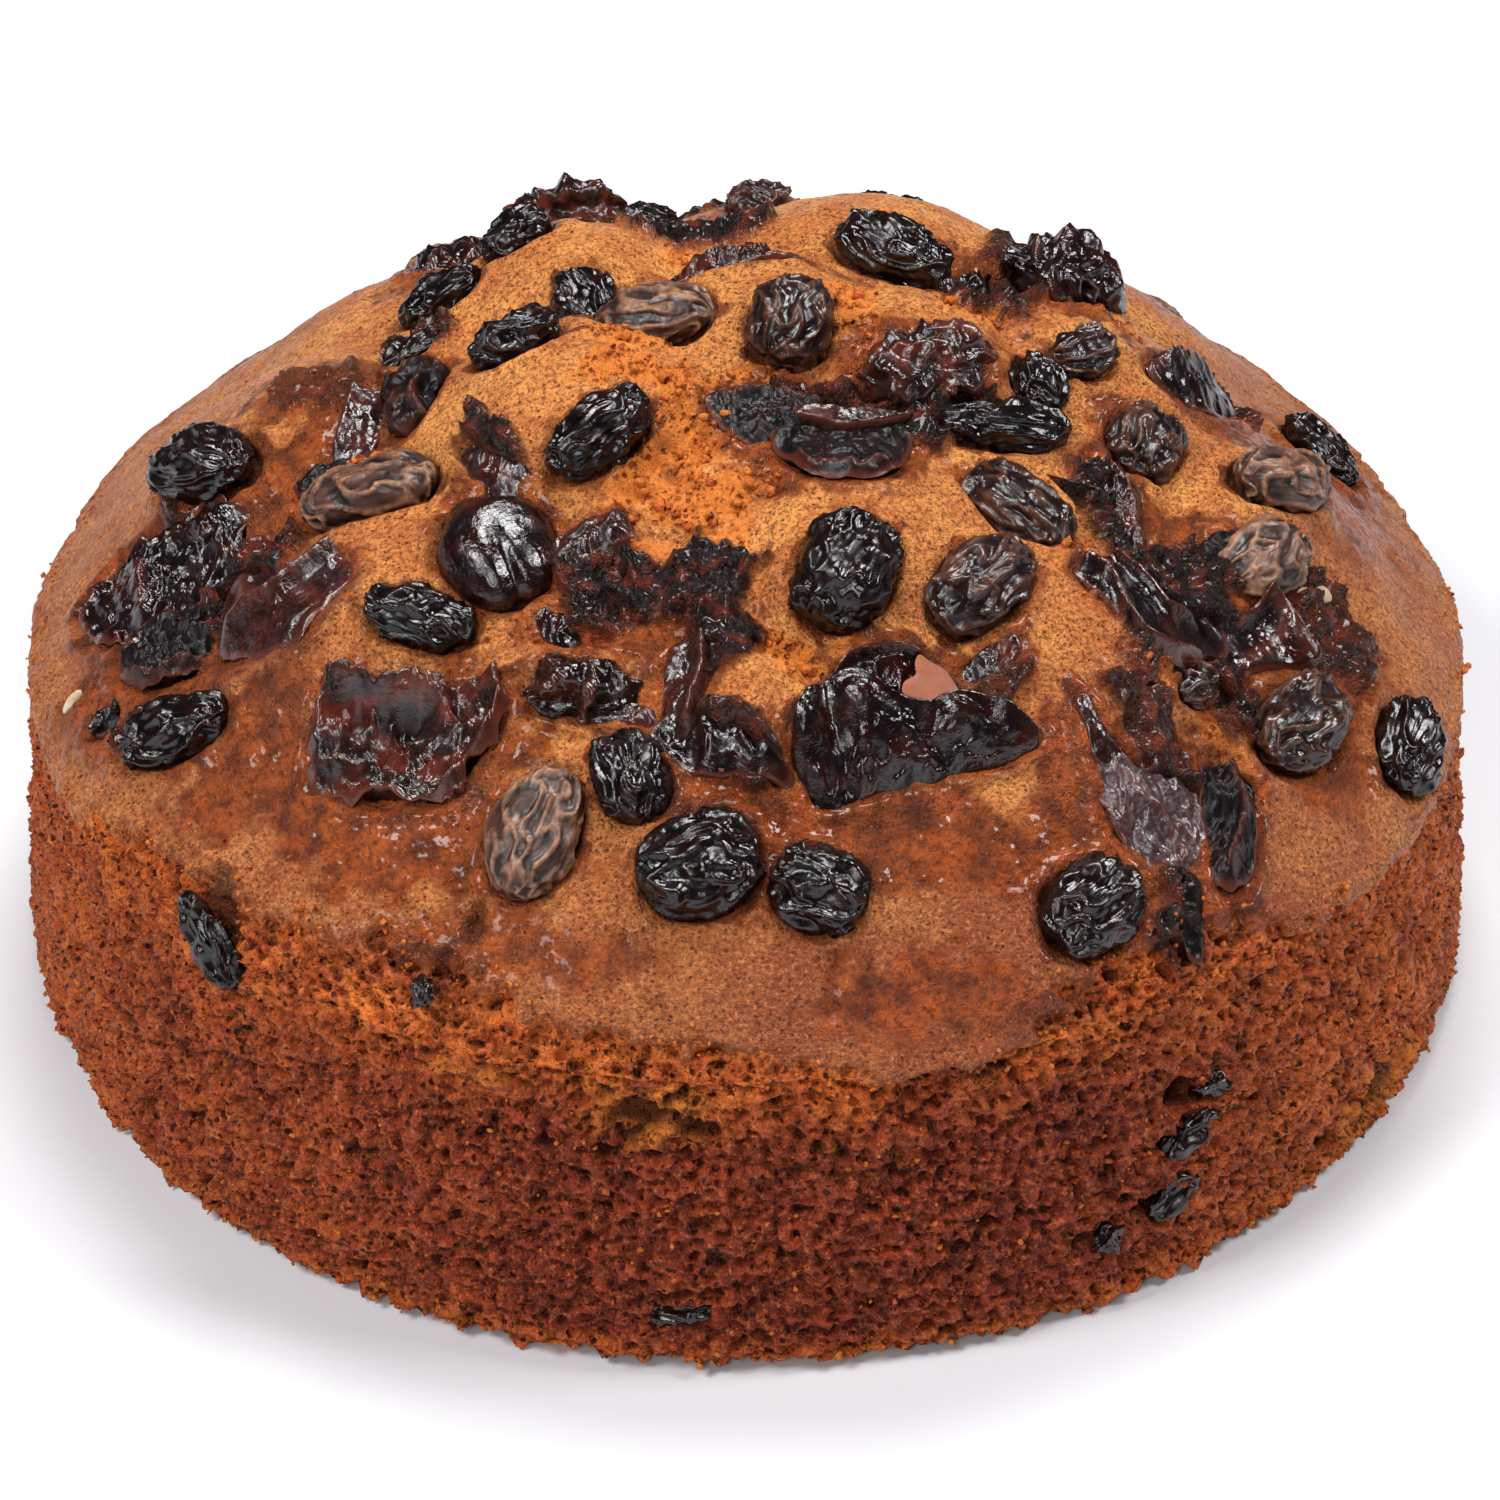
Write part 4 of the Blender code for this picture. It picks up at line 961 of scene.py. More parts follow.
def fruit_seats(points):
    """Lift, gap, depth below and stickiness of the crust around every piece of fruit."""
    lift, under, sunk, sticky = np.zeros((4, len(points)))
    wobble = 0.25 * noise(points, 2.2, 20.0) + 0.15 * noise(points, 0.9, 21.0)
    stain = 1.6 * noise(points, 3.0, 22.0) + 0.6 * noise(points, 1.2, 23.0)
    seats = [
        (place["middle"], place, DATE_STAIN if name.startswith("date") else RAISIN_STAIN)
        for name, place in places.items() if name not in sheet_lines
    ]
    seats += [(place["middle"], place, SMALL_STAIN) for _, place in more_places]
    seats += [(line.mean(axis=0), line, DATE_STAIN) for line in sheet_lines.values()]
    for middle, shape, reach in seats:
        near = np.flatnonzero(np.hypot(points[:, 0] - middle[0], points[:, 1] - middle[1]) < SEAT_REACH)
        near = near[points[near, 2] > LOWEST_SEAT]
        sheet_seat = not isinstance(shape, dict)
        away = (line_away if sheet_seat else ellipse_away)(points[near], shape)
        lift[near] += SEAT_RISE * np.exp(-((away + wobble[near] - 1.3) / SEAT_WIDTH) ** 2)
        inside = smooth(0.4, -0.7, away + wobble[near] + (0.9 if sheet_seat else 0.0))
        under[near] = np.maximum(under[near], inside)
        sunk[near] = np.maximum(sunk[near], (SHEET_SINK if sheet_seat else FRUIT_SINK) * inside)
        sticky[near] = np.maximum(sticky[near], smooth(reach, 0.2 * reach, away + stain[near]))
    sticky *= 0.45 + 0.55 * smooth(-0.35, 0.45, noise(points, 7.0, 24.0))
    return np.minimum(lift, 0.8), under, sunk, sticky


lift, under, sunk, sticky = fruit_seats(body)
print("points under fruit", int((under > 0.5).sum()))

# %% [markdown]
# Now the surface itself. The skin swells gently and carries a fine grain. Syrup boils into
# lumps, pulp stands up in strings, torn places are heaps of crumb with cracks between. The
# open crumb of the wall is sponge: three sizes of pores, cut in from a surface that lies a
# little under the skin.

# %% Surface detail
def skin_detail(points):
    """Height of the skin: swellings from 9 down to 0.8 millimetres across."""
    return (
        0.40 * noise(points, 9.0, 30.0)
        + 0.20 * noise(points, 3.6, 31.0)
        + 0.07 * noise(points, 1.5, 32.0)
        + 0.04 * noise(points, 0.8, 33.0)
    )


def crumb_detail(points):
    """Depth of the open crumb, always inwards: a chance number for each pore says how large
    and how deep it is, and the widest are drawn out sideways."""
    bent = points + 0.5 * warp(points, 1.3, 40.0)
    small, small_lot = pores(bent, 1.3, 43.0)
    middle, middle_lot = pores(bent, 2.1, 44.0)
    large, large_lot = pores(bent * np.array([0.75, 0.75, 1.0]), 3.8, 45.0)
    depth = 0.95 * smooth(0.72, 0.25, small) * (small_lot > 0.1)
    depth += 1.30 * smooth(0.22 + 0.36 * middle_lot, 0.08, middle) * (middle_lot > 0.35)
    depth += 1.90 * smooth(0.08 + 0.30 * large_lot, 0.03, large) * (large_lot > 0.6)
    rough = (0.34 * noise(points, 0.95, 46.0) + 0.34 * noise(points, 2.0, 47.0)
             + 0.50 * noise(points, 6.0, 48.0))
    rough += 0.10 * CHANCE.normal(size=len(points))
    return depth, rough


swell = skin_detail(body)
walls = np.flatnonzero((crumb > 0.02) | (torn > 0.02))
pore_depth = np.zeros(len(body))
crumb_rough = np.zeros(len(body))
pore_depth[walls], crumb_rough[walls] = crumb_detail(body[walls])
print("deepest pore", round(float(pore_depth.max()), 2), "mm")

# %% Crust height
lumps = noise(body, 2.0, 50.0) + 0.6 * folds(body, 1.5, 51.0)
strings = folds(body + warp(body, 4.0, 56.0), 5.0, 52.0, 1.0, 1.6) + 0.28 * folds(body, 1.8, 53.0, 1.0, 1.8)
heaps, heap_lot = pores(body, 1.9, 54.0)
lip = np.exp(-((body[:, 2] - edge_height - 0.8) / 0.9) ** 2)
height = swell * (1.0 - 0.5 * crumb)
height += syrup * (1.0 - crumb) * (0.16 * lumps - 0.20)
height += pulp * (0.1 + 2.0 * strings)
height += torn * (0.55 - 1.3 * heaps + 0.5 * heap_lot + crumb_rough) * (1.0 - crumb)
height += lip * 0.35 * (1.0 - torn)
height -= crumb * (0.75 + pore_depth - crumb_rough)
height += lift * (1.0 - 0.6 * crumb)
height -= sunk + wall_hole
height -= np.exp(-((body[:, 2] - 0.5) / 1.6) ** 2) * (0.6 + 1.5 * noise(body, 2.6, 55.0)) * crumb
surface = body + outwards * height[:, None]
surface[:, 2] = np.maximum(surface[:, 2], 0.0)
# Painted shade: how far the pores, the wall holes and the crust under the fruit are darkened.
painted_shade = np.clip(crumb * smooth(0.35, 1.5, pore_depth) + smooth(0.6, 2.0, wall_hole) + 0.8 * under, 0.0, 1.0)
syrup = np.clip(np.maximum(syrup, sticky * on_top), 0.0, 1.0)
print("crust height from", round(float(height.min()), 2), "to", round(float(height.max()), 2), "mm")

# %% [markdown]
# The body is cut into five closed slabs, a cap and four layers, so that no piece is too heavy.
# A slab is closed by flat fans across the cake, which lie inside it. The light must not show
# the cuts, so all slabs take the directions of one common surface.

# %% Cake pieces
def ring_quads(first_row, last_row):
    """Faces between rows of the wall. Row 0 is the rim of the disc."""
    rows = np.empty((last_row - first_row + 1, RING_COUNT), int)
    for step in range(first_row, last_row + 1):
        start = len(disc_radius) + (step - 1) * RING_COUNT
        rows[step - first_row] = rim if step == 0 else np.arange(start, start + RING_COUNT)
    after = np.roll(rows, -1, axis=1)
    return np.stack([rows[:-1], rows[1:], after[1:], after[:-1]], axis=-1).reshape(-1, 4), rows[0], rows[-1]


def common_directions(points, faces):
    """Unit normals at the points: the sum of the normals of the faces around each."""
    normal = np.cross(points[faces[:, 2]] - points[faces[:, 0]], points[faces[:, 3]] - points[faces[:, 1]])
    total = np.stack([
        sum(np.bincount(faces[:, corner], normal[:, axis], len(points)) for corner in range(4))
        for axis in range(3)
    ], axis=1)
    return total / np.maximum(np.linalg.norm(total, axis=1), 1e-12)[:, None]


masks = {"syrup": syrup, "crumb": crumb, "torn": torn, "flesh": pulp, "bake_and_shade": bake_and_shade, "painted_shade": painted_shade}
directions = common_directions(surface, np.concatenate([disc_quads, ring_quads(0, BANDS * BAND_ROWS)[0]]))


def cake_slab(name, quads, open_rings):
    """A closed piece of the body: its outside and a fan across it at each open ring."""
    used, small = np.unique(quads, return_inverse=True)
    small = small.reshape(quads.shape)
    points = [surface[used]]
    fans = []
    for ring, facing in open_rings:
        spot = np.searchsorted(used, ring)
        after = np.roll(spot, -1)
        hub = np.full(len(spot), len(used) + len(points) - 1)
        fans.append(np.stack([hub, spot, after] if facing > 0 else [hub, after, spot], axis=1))
        points.append(np.array([[0.0, 0.0, surface[ring, 2].mean()]]))
    extra = np.zeros(len(open_rings))
    own = {key: np.concatenate([values[used], extra]) for key, values in masks.items()}
    piece = make_piece(name, np.concatenate(points), [small] + fans, crust_finish, own)
    shading = np.zeros((len(piece.data.loops), 3), np.float32)
    shading[: quads.size] = directions[quads.ravel()]
    piece.data.normals_split_custom_set(shading)
    return piece


cap_rim = ring_quads(0, 1)[1]
cake_pieces = [cake_slab("crust_cap", disc_quads, [(cap_rim, -1)])]
for band in range(BANDS):
    quads, upper, lower = ring_quads(band * BAND_ROWS, (band + 1) * BAND_ROWS)
    name = ("crust_dome", "crust_shoulder", "wall_crumb_upper", "wall_crumb_lower")[band]
    cake_pieces.append(cake_slab(name, quads, [(upper, 1), (lower, -1)]))
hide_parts("cake")
print("cake pieces", {piece.name: len(piece.data.polygons) for piece in cake_pieces})

# %% [markdown]
# Dried fruit finishes. A raisin's skin has thin raised veins with broad valleys between. On
# the black ones everything is dark and glossy. The brown and tan ones are drier: their veins
# and high places show the pale colour of the dried skin, and the valleys are painted dark as shade.

# %% Raisin finishes
def build_raisin(name, valley_and_shade, ridge, blush, shine, pale):
    """A raisin's finish: two colours by the height of the folds, the low one painted dark as
    shade in the valleys, patches of a third, and a roughness that is patchy too."""
    finish, w, shader = new_finish(name, Specular_IOR_Level=0.60)
    place = w.place()
    fold = w.mask("fold")
    height, tone = use_group(w, fine_grain, Place=place, Size=0.5, Pits=0.0)
    patch = w.ramp(w.noise(place, 2.6, 3.0), 0.38, 0.66)
    streak = w.math("MULTIPLY", w.ramp(fold, 0.15, 0.8), w.ramp(tone, 0.1, 0.9, 0.55, 1.0))
    # Valleys take the dark colour as painted shade; veins and grain tops take the pale skin colour.
    base = w.colour(w.math("MULTIPLY", streak, pale), valley_and_shade, ridge)
    base = w.colour(w.math("MULTIPLY", patch, 0.7), base, blush)
    rough = w.ramp(w.noise(place, 1.8, 2.0), 0.3, 0.7, shine, shine + 0.22)
    feed(w, shader, Base_Color=base, Roughness=rough, Normal=w.bump(height, 0.10, 0.5))
    return finish


raisin_finishes = {
    "black": build_raisin("black_raisin_skin", (0.0015, 0.0006, 0.0006), (0.011, 0.0045, 0.0045),
                          (0.014, 0.0025, 0.002), 0.10, 0.8),
    "brown": build_raisin("brown_raisin_skin", (0.006, 0.0015, 0.0015), (0.15, 0.058, 0.032),
                          (0.024, 0.006, 0.006), 0.15, 0.85),
    "tan": build_raisin("tan_raisin_skin", (0.010, 0.004, 0.003), (0.42, 0.20, 0.105), (0.10, 0.034, 0.021),
                        0.30, 0.95),
}

# %% Raisin form
RAISIN_ROWS, RAISIN_COLUMNS = 64, 80


def ball_points(rows, columns):
    """Unit ball with its poles on X and more points on its upper side."""
    row = np.linspace(0.0, np.pi, rows + 2)
    share = np.linspace(-1.0, 1.0, columns, endpoint=False)
    column = np.pi * (0.62 * share + 0.38 * share ** 3)
    u, v = np.meshgrid(row[1:-1], column, indexing="ij")
    ball = np.stack([-np.cos(u), np.sin(u) * np.sin(v), np.sin(u) * np.cos(v)], axis=-1).reshape(-1, 3)
    return np.concatenate([[[-1.0, 0.0, 0.0]], ball, [[1.0, 0.0, 0.0]]])


def ball_outwards(ball, half):
    """Unit directions out of the ellipsoid that the ball becomes with these half sizes."""
    out = ball / half
    return out / np.linalg.norm(out, axis=1)[:, None]


def raisin_points(half, seed, depth, vein):
    """A shrunken ellipsoid with its long axis on X. Ridges follow its length, wander with a
    slow noise and branch. Gives the points and the ridge height."""
    ball = ball_points(RAISIN_ROWS, RAISIN_COLUMNS)
    out = ball_outwards(ball, half)
    full = np.abs(ball) ** 0.92 * np.sign(ball) * half
    drawn = full * np.array([0.42, 1.0, 1.0]) + 0.8 * warp(full, 3.4, seed)
    ridge = folds(drawn, 2.35 * vein, seed, 1.25, 2.6)
    fine = folds(drawn, 1.3 * vein, seed + 3.0, 1.2, 2.8)
    swell = noise(full, 0.6 * half[0], seed + 5.0)
    height = depth * (ridge + 0.30 * fine - 0.55) + 0.60 * swell
    ends = smooth(1.0, 0.86, np.abs(ball[:, 0]))
    height = height * (0.35 + 0.65 * ends) - 0.5 * depth
    return full + out * height[:, None], np.clip(0.75 * ridge + 0.35 * fine, 0.0, 1.0)


FOLD_DEPTH = {"black": 0.80, "brown": 0.65, "tan": 0.50}
FOLD_WIDTH = {"black": 1.0, "brown": 0.9, "tan": 0.85}


def add_raisin(name, kind, place, seed, node=None):
    """One raisin of a kind in its place: a little larger than the solid it stands for, since
    its valleys sink in. Black ones have shrunk most and have the deepest folds."""
    half = place["half"] + np.array([0.2, 0.35, 0.35])
    points, fold = raisin_points(half, seed, FOLD_DEPTH[kind], FOLD_WIDTH[kind])
    faces = tube_faces(RAISIN_ROWS, RAISIN_COLUMNS)
    return make_piece(name, put(points, place), faces, raisin_finishes[kind],
                      {"fold": fold}, node)


RAISIN_NODES = [name for name in NODES if name.startswith("raisin")]
for number, name in enumerate(RAISIN_NODES):
    kind = name.split("_")[1]
    add_raisin("wrinkled_" + name, kind, places[name], 2.0 + 1.7 * number, node=name)
for number, (kind, place) in enumerate(more_places):
    add_raisin(f"far_raisin_{number + 1:02d}", kind, place, 80.0 + 1.9 * number)
print("raisins made", len(RAISIN_NODES) + len(more_places))

# %% [markdown]
# Dates come in several looks, from glossy black to dry grey and wet red pulp, and their inner
# husk is pale. Thin edges let the light through and look red, so the shape stores how near each
# point is to an edge.

# %% Date finishes
def build_date(name, dark, red, shine, rise, veil, rim=(0.15, 0.034, 0.018), level=0.75):
    """A date's finish: nearly black, redder at its thin edges, in patches of gloss."""
    finish, w, shader = new_finish(name, Specular_IOR_Level=level)
    place = w.place()
    edge = w.mask("edge")
    height, tone = use_group(w, fine_grain, Place=place, Size=0.7, Pits=0.0)
    cloud = w.ramp(w.noise(place, 3.5, 3.0), 0.42, 0.72)
    base = w.colour(w.math("MULTIPLY", cloud, rise), dark, red)
    base = w.colour(w.ramp(edge, 0.4, 1.0, 0.0, 0.60), base, rim)
    base = w.colour(w.math("MULTIPLY", w.ramp(tone, 0.3, 1.0), veil), base, (0.19, 0.125, 0.125))
    rough = w.ramp(w.noise(place, 2.2, 3.0), 0.35, 0.7, shine, shine + 0.18)
    feed(w, shader, Base_Color=base, Roughness=rough, Normal=w.bump(height, 0.15, 0.7))
    return finish


date_finishes = {
    "glossy": build_date("glossy_date_skin", (0.005, 0.001, 0.001), (0.060, 0.006, 0.002), 0.10, 0.45, 0.01),
    "matt": build_date("matt_date_skin", (0.004, 0.003, 0.0035), (0.050, 0.008, 0.005), 0.26, 0.30, 0.02,
                       level=0.28),
    "pulp": build_date("date_pulp", (0.012, 0.003, 0.002), (0.16, 0.020, 0.007), 0.14, 0.75, 0.04),
    "wine": build_date("wine_date_skin", (0.018, 0.004, 0.003), (0.120, 0.016, 0.009), 0.13, 0.5, 0.10),
    "husk": build_date("dry_husk", (0.30, 0.092, 0.046), (0.42, 0.145, 0.075), 0.42, 0.8, 0.0,
                       (0.36, 0.12, 0.06), 0.3),
    "pale": build_date("pale_husk", (0.60, 0.42, 0.26), (0.90, 0.76, 0.58), 0.40, 0.9, 0.0,
                       (0.85, 0.70, 0.50), 0.3),
    "grey": build_date("grey_date_skin", (0.045, 0.022, 0.024), (0.10, 0.030, 0.026), 0.19, 0.4, 0.55),
}

# %% [markdown]
# A sheet is built from rings between its middle and its outline, then folded round its rim and
# back underneath, so the form is closed. It follows the cake, and slow noise, thin folds and
# its own ridges are added to its height. Its rim is ragged.

# %% Sheet form
SHEET_ROWS, SHEET_UNDER = 36, 8


def path_gap(x, y, path):
    """Distance from a broken line."""
    gap = np.full(x.shape, 99.0)
    for (x0, y0), (x1, y1) in zip(path[:-1], path[1:]):
        run, rise = x1 - x0, y1 - y0
        along = np.clip(((x - x0) * run + (y - y0) * rise) / (run * run + rise * rise), 0.0, 1.0)
        gap = np.minimum(gap, np.hypot(x - x0 - along * run, y - y0 - along * rise))
    return gap


def sheet(line, look, origin, seed, thick=0.9, ground=top_height, form=None, rows=SHEET_ROWS):
    """Points of a sheet and how near each is to an edge. Each ring is the outline drawn in
    towards its middle, and the height runs from that of the middle to that of the rim."""
    middle, rim, rumple = look[1:4]
    hub = line.mean(axis=0)
    step = np.arange(1, rows + SHEET_UNDER + 1)[:, None]
    top = step <= rows
    back = (step - rows) / (SHEET_UNDER + 1.0)
    share = np.where(top, 1.0 - (1.0 - np.minimum(step / rows, 1.0)) ** 1.4, 1.0 - 0.98 * back)
    flat_line = np.concatenate([line, np.zeros((len(line), 1))], axis=1)
    ragged = 0.03 + 0.04 * rumple
    ragged = 1.0 + ragged * share ** 4 * (
        noise(flat_line, 2.6, seed) + 0.5 * noise(flat_line, 1.2, seed + 1.0))
    x = hub[0] + share * (line[:, 0] - hub[0]) * ragged
    y = hub[1] + share * (line[:, 1] - hub[1]) * ragged
    flat = np.stack([x, y, 0.0 * x], axis=-1).reshape(-1, 3)
    bent = flat + 0.9 * warp(flat, 3.0, seed + 2.0)
    wave = 0.7 * noise(flat, 4.6, seed + 3.0) + 0.6 * folds(bent, 3.4, seed + 4.0, 1.0, 1.8)
    small = 0.38 * folds(bent, 1.5, seed + 5.0, 1.0, 1.8) + 0.14 * noise(flat, 0.7, seed + 6.0) - 0.35
    wave = wave.reshape(x.shape) + small.reshape(x.shape) * smooth(1.0, 0.8, share)
    lift = middle + (rim - middle) * smooth(0.4, 0.97, share) + rumple * wave
    edge = smooth(0.82, 1.0, share) + 0.0 * x
    for width, height, path in itertools.chain(*look[5:]):
        crest = np.exp(-(path_gap(x - origin[0], y - origin[1], path) / width) ** 2)
        lift = lift + height * crest * smooth(1.0, 0.9, share)
        edge = np.maximum(edge, 0.75 * crest)
    if form is not None:
        lift, edge = form(x - origin[0], y - origin[1], share + 0.0 * x)
    round_off = 0.5 * thick * share ** 14
    below = thick - 2.0 * round_off + 3.4 * smooth(0.98, 0.7, share)
    z = ground(x, y) + lift - round_off - np.where(top, 0.0, below)
    points = np.stack([x, y, z], axis=-1)
    first, last = points[0].mean(axis=0), points[-1].mean(axis=0)
    points = np.concatenate([first[None], points.reshape(-1, 3), last[None]])
    return points, np.concatenate([[0.0], edge.ravel(), [0.0]])


def add_date(name, points, edge, finish, rows, columns, node=None):
    """One piece of date from rows of points around it."""
    faces = tube_faces(rows, columns)
    return make_piece(name, points, faces, date_finishes[finish], {"edge": edge}, node)


def add_sheet(name, look, origin, seed, node=None):
    """One sheet on its own outline."""
    points, edge = sheet(sheet_lines[node or name], look, origin, seed)
    return add_date(name, points, edge, look[0], SHEET_ROWS + SHEET_UNDER, SHEET_COLUMNS, node)


for number, (name, look) in enumerate(DATE_SKINS.items()):
    add_sheet("folded_" + name, look, places[name]["middle"], 3.0 + 2.3 * number, name)
for number, (name, look) in enumerate(SCRAPS.items()):
    add_sheet(name, look, (0.0, 0.0), 40.0 + 1.3 * number)
print("date skins made", len(DATE_SKINS), "and scraps", len(SCRAPS))

# %% [markdown]
# Lumps of date are squeezed and torn: a ball drawn out to the piece's size, with deep folds in
# two sizes and small knobs.

# %% Date lumps
LUMP_ROWS, LUMP_COLUMNS = 64, 88


def lump_points(half, seed, uneven):
    """A crumpled lump: slow noise for its outline, soft folds of 4 and 1.6 millimetres on it."""
    ball = ball_points(LUMP_ROWS, LUMP_COLUMNS)
    full = ball * half
    out = ball_outwards(ball, half)
    bent = full + 1.2 * warp(full, 3.5, seed + 7.0)
    crease = folds(bent, 4.2, seed, 1.0, 1.8)
    small = folds(bent, 1.7, seed + 2.0, 1.0, 1.8)
    height = uneven * min(half) * (noise(full, 0.8 * half[1], seed + 4.0) - 0.1)
    height += 1.5 * crease + 0.45 * small + 0.2 * noise(full, 1.0, seed + 5.0) - 1.0
    return full + out * height[:, None], np.clip(crease - 0.3 + 0.4 * noise(full, 3.0, seed + 6.0), 0.0, 1.0)


DATE_LUMPS = {
    "date_piece_01": (0.35, "glossy"), "date_piece_02": (0.40, "pulp"),
    "date_piece_04": (0.45, "glossy"), "date_piece_05": (0.60, "pulp"), "date_piece_06": (0.40, "matt"),
    "date_piece_07": (0.35, "glossy"), "date_piece_08": (0.40, "pulp"),
}
for number, (name, (uneven, finish)) in enumerate(DATE_LUMPS.items()):
    place = places[name]
    points, edge = lump_points(place["half"] + 0.3, 30.0 + 3.1 * number, uneven)
    add_date("torn_" + name, put(points, place), edge, finish, LUMP_ROWS, LUMP_COLUMNS, name)
print("date lumps made", len(DATE_LUMPS))

# %% [markdown]
# Two dates were cut in half and stoned. The big one lies open side up: its skin rises in a
# steep front to a lip, and behind the lip is the hollow that the stone left. The small one
# lies cut side down and shows a smooth back.

# %% Half dates
HALF_ROWS, HALF_COLUMNS = 96, 112
BIG_ROWS = 60
LIP = (
    # x, y, height over the cake, all along the lip of the big half
    (-11.8, 0.2, 2.6), (-10.1, 0.9, 3.8), (-7.8, 3.4, 5.2), (-4.9, 3.6, 6.1), (-2.8, 2.5, 5.9),
    (-0.5, 2.1, 5.5), (2.7, 2.2, 5.1), (4.8, 3.2, 4.9), (7.3, 4.0, 4.6), (9.4, 4.1, 3.9), (11.7, 4.0, 2.9),
    (14.5, 3.4, 1.6), (16.5, 3.0, 0.7),
)
FRONT = ((-11.8, -1.6), (-10.6, -4.4), (-8.1, -5.6), (-4.9, -5.0), (-1.9, -3.5), (1.3, -2.7), (4.8, -1.6),
         (7.4, -0.1), (10.7, 0.8), (14.1, 1.5), (16.5, 2.6))
BULGES = ((-9.2, -1.3, 1.7, 2.0), (-3.4, 0.6, 2.7, 1.9), (7.4, 1.9, 1.8, 2.0), (-6.8, -3.8, 1.4, -0.9),
          (11.8, 2.6, 1.4, 0.8), (-0.2, -1.0, 1.5, 0.8))


def eased(x, table, column, reach=0.7):
    """A column of a table read at x, averaged over a short reach so that it has no corners."""
    knots = np.array([row[0] for row in table])
    values = np.array([row[column] for row in table])
    return sum(np.interp(x + shift, knots, values) for shift in np.linspace(-reach, reach, 7)) / 7.0


def big_half(x, y, share):
    """The large half date: a leathery shell with its stone gone. Its front rises steeply in
    three bulges to a lip, the opening falls away behind the lip, and the far rim is low."""
    lip_y, lip_z, front_y = eased(x, LIP, 1), eased(x, LIP, 2), eased(x, FRONT, 1)
    rise = np.clip((y - front_y) / np.maximum(lip_y - front_y, 0.5), 0.0, 1.0)
    place_there = np.stack([x, 1.4 * y, 3.0 * rise], axis=-1).reshape(-1, 3)
    lumps = 0.13 * noise(
        np.stack([x, 0.0 * x, 9.0 * rise], axis=-1).reshape(-1, 3), 1.1, 66.0).reshape(x.shape)
    climb = np.clip(rise + lumps * smooth(1.0, 0.5, rise), 0.0, 1.0)
    front = (lip_z * (0.24 * smooth(0.0, 0.2, climb) + 0.76 * np.sin(0.5 * np.pi * climb))
             * smooth(0.0, 0.04, rise))
    for at_x, at_y, wide, high in BULGES:
        front = front + high * rise ** 0.5 * np.exp(-(np.hypot(x - at_x, y - at_y) / wide) ** 2)
    front -= 1.5 * np.exp(-(
        path_gap(x, y, ((-8.2, 3.4), (-7.0, 0.6), (-5.4, -1.3), (-5.6, -3.4))) / 1.3) ** 2)
    front -= 1.3 * np.exp(-(path_gap(x, y, ((4.1, 2.2), (3.5, 0.6), (5.5, -0.3))) / 1.0) ** 2)
    crinkle = (0.5 * noise(place_there, 4.0, 61.0) + 0.07 * folds(place_there, 1.2, 62.0)
               + 0.03 * noise(place_there, 0.6, 63.0))
    front += crinkle.reshape(x.shape) * smooth(0.0, 0.3, rise)
    behind = y - lip_y
    inside = 1.0 * folds(place_there, 3.0, 64.0, 1.0, 1.6) + 0.5 * folds(place_there, 1.3, 65.0, 1.0, 1.6)
    far_rim = np.exp(-((share - 0.945) / 0.035) ** 2)
    pit = 0.2 + inside.reshape(x.shape) * smooth(1.0, 0.85, share) + 2.0 * far_rim
    drop = smooth(0.25, 1.3, behind)
    lift = (front * (1.0 - drop) + pit * drop
            + 0.45 * np.exp(-((behind - 0.1) / 0.4) ** 2) * smooth(1.0, 0.9, share))
    lift = np.maximum(lift, 0.0) * smooth(1.0, 0.985, share) + 0.1
    edge = np.maximum(0.95 * np.exp(-((behind - 0.55) / 0.45) ** 2), 0.8 * far_rim * drop)
    return lift, np.clip(edge + 0.3 * smooth(0.5, 0.1, rise), 0.0, 1.0)


def small_half(half):
    """The small half date: a glossy dome, pinched at its upper end, with one wide dent."""
    ball = ball_points(HALF_ROWS, HALF_COLUMNS)
    full = ball * half
    out = ball_outwards(ball, half)
    share = ball[:, 0]
    pinch = 1.0 - 0.45 * smooth(-0.35, -1.0, share)
    dent = np.exp(-((ball[:, 1] - 0.02 + 0.3 * share) / 0.16) ** 2) * smooth(-0.4, 0.6, share)
    height = 0.5 * noise(full, 7.0, 71.0) - 0.8 * dent + 0.04 * folds(full, 1.6, 72.0)
    height += 0.03 * noise(full, 1.0, 73.0)
    points = full * np.stack([np.ones_like(pinch), pinch, pinch], axis=1) + out * height[:, None]
    return points, np.clip(smooth(-0.7, -1.0, share), 0.0, 1.0)


place = places["date_half_02"]
points, edge = small_half(place["half"] + 0.2)
add_date("glossy_date_half_02", put(points, place), edge, "glossy", HALF_ROWS, HALF_COLUMNS, "date_half_02")
look = ("glossy", 0.0, 0.0, 0.0, ())
points, edge = sheet(sheet_lines["date_half_01"], look, half_middle, 60.0, form=big_half, rows=BIG_ROWS)
add_date("glossy_date_half_01", points, edge, "glossy", BIG_ROWS + SHEET_UNDER, 2 * SHEET_COLUMNS,
         "date_half_01")
print("half dates made, the big one of", len(points), "points")

# %% [markdown]
# A pale flake of the husk that lined the stone lies across the opening of the big half.

# %% Husk flake
FLAKE_LEVEL = 65.7


def flake_ground(x, y):
    """The slightly tilted plane in which the husk flake lies, over the opening."""
    return FLAKE_LEVEL + 0.47 * (y - half_middle[1] - 3.2) - 0.26 * (x - half_middle[0] - 0.6)


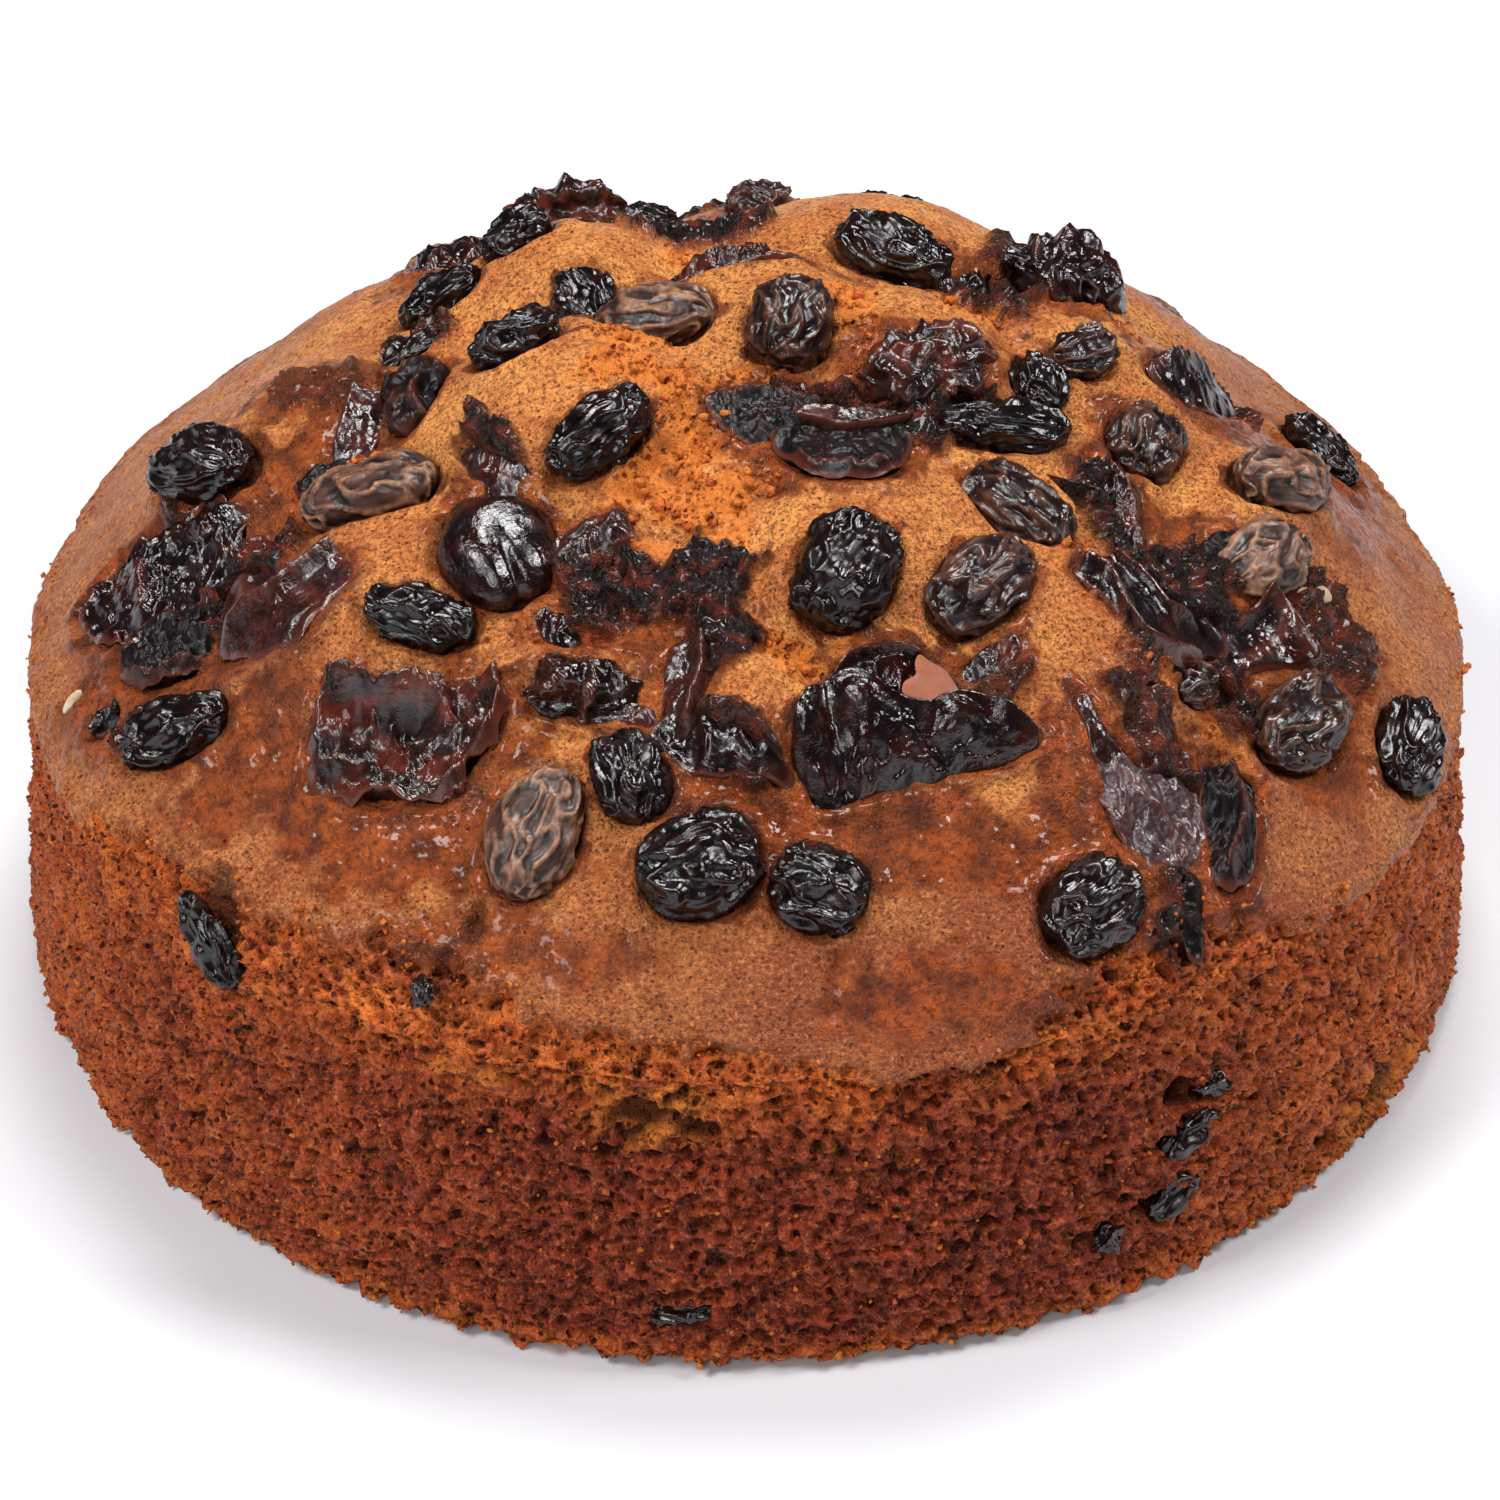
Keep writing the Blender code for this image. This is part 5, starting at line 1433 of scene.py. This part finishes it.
flake_line = half_middle + closed_line(np.array(FLAKE_OUTLINE), SHEET_COLUMNS)
points, edge = sheet(flake_line, ("husk", 0.1, 0.0, 0.12, ()), half_middle, 77.0, 0.25, flake_ground)
points[:, 2] = np.maximum(points[:, 2], flake_ground(points[:, 0], points[:, 1]) - 0.5)
add_date("husk_flake", points, 0.0 * edge, "husk", SHEET_ROWS + SHEET_UNDER, SHEET_COLUMNS)

# %% [markdown]
# Loose crumbs lie where the skin has torn, along the ragged edge of the skin and here and
# there on top. Each is a small ball of twenty faces pushed out of shape, and all of a kind are
# joined in one mesh.

# %% Crumbs
GOLDEN = 0.5 * (1.0 + 5.0 ** 0.5)
BALL_CORNERS = np.array([
    (-1, GOLDEN, 0), (1, GOLDEN, 0), (-1, -GOLDEN, 0), (1, -GOLDEN, 0), (0, -1, GOLDEN), (0, 1, GOLDEN),
    (0, -1, -GOLDEN), (0, 1, -GOLDEN), (GOLDEN, 0, -1), (GOLDEN, 0, 1), (-GOLDEN, 0, -1), (-GOLDEN, 0, 1),
]) / 1.9
BALL_FACES = np.array([
    (0, 11, 5), (0, 5, 1), (0, 1, 7), (0, 7, 10), (0, 10, 11), (1, 5, 9), (5, 11, 4), (11, 10, 2),
    (10, 7, 6), (7, 1, 8), (3, 9, 4), (3, 4, 2), (3, 2, 6), (3, 6, 8), (3, 8, 9), (4, 9, 5), (2, 4, 11),
    (6, 2, 10), (8, 6, 7), (9, 8, 1),
])


def strew(name, weights, count, smallest, largest, sink=0.15):
    """Crumbs at random points of the surface, more where the weights are larger. Sizes favour
    the small end."""
    spots = CHANCE.choice(len(surface), size=count, p=weights / weights.sum())
    size = smallest + (largest - smallest) * CHANCE.random(count) ** 2.5
    corners = BALL_CORNERS[None] * CHANCE.uniform(0.40, 1.35, size=(count, 12, 3))
    corners = corners * CHANCE.uniform(0.5, 1.2, size=(count, 1, 3))
    turn = CHANCE.normal(size=(count, 3, 3))
    turn = np.linalg.qr(turn)[0]
    corners = np.einsum("cij,cvj->cvi", turn, corners * 0.5 * size[:, None, None])
    middle = surface[spots] + directions[spots] * (size * (0.5 - sink))[:, None]
    points = (corners + middle[:, None, :]).reshape(-1, 3)
    turned = np.linalg.det(turn) < 0.0
    faces = np.where(turned[:, None, None], BALL_FACES[None, :, ::-1], BALL_FACES[None])
    faces = (faces + 12 * np.arange(count)[:, None, None]).reshape(-1, 3)
    extra = {"torn": CHANCE.uniform(0.0, 1.0, count).repeat(12), "crumb": np.ones(12 * count)}
    return make_piece(name, points, [faces], crust_finish, extra)


clear = (1.0 - under) * (wall_hole < 0.2)
edge_band = np.exp(-((body[:, 2] - edge_height) / 2.0) ** 2)
strew("torn_crumbs", clear * on_top * (torn ** 2) * (1.0 - pulp), 240, 0.5, 2.0)
strew("edge_crumbs", clear * edge_band * (body[:, 1] < 10.0), 330, 0.4, 1.1)
strew("foot_crumbs", clear * np.exp(-((body[:, 2] - 1.0) / 1.2) ** 2), 500, 0.4, 1.5)
strew("stray_crumbs", clear * on_top * (np.hypot(body[:, 0], body[:, 1]) < 70.0), 70, 0.3, 0.9)
strew("wall_crumbs", clear * (crumb > 0.9) * (body[:, 2] > 2.0), 1500, 0.4, 1.1, 0.3)

# %% [markdown]
# Finally the floor: a plain pale sheet with the faintest unevenness, so that it is not dead
# flat in tone.

# %% Floor
def build_floor():
    """Two pale greys in a slow cloud."""
    finish, w, shader = new_finish("pale_floor", Specular_IOR_Level=0.2)
    cloud = w.noise(w.place(), 60.0)
    base = w.colour(cloud, (0.79, 0.79, 0.82), (0.81, 0.81, 0.84))
    feed(w, shader, Base_Color=base, Roughness=0.6)
    return finish


floor_mesh = bpy.data.meshes.new("floor")
floor_mesh.from_pydata([(-4, -4, 0), (4, -4, 0), (4, 4, 0), (-4, 4, 0)], [], [(0, 1, 2, 3)])
floor_mesh.materials.append(build_floor())
floor = bpy.data.objects.new("floor", floor_mesh)
bpy.context.scene.collection.objects.link(floor)
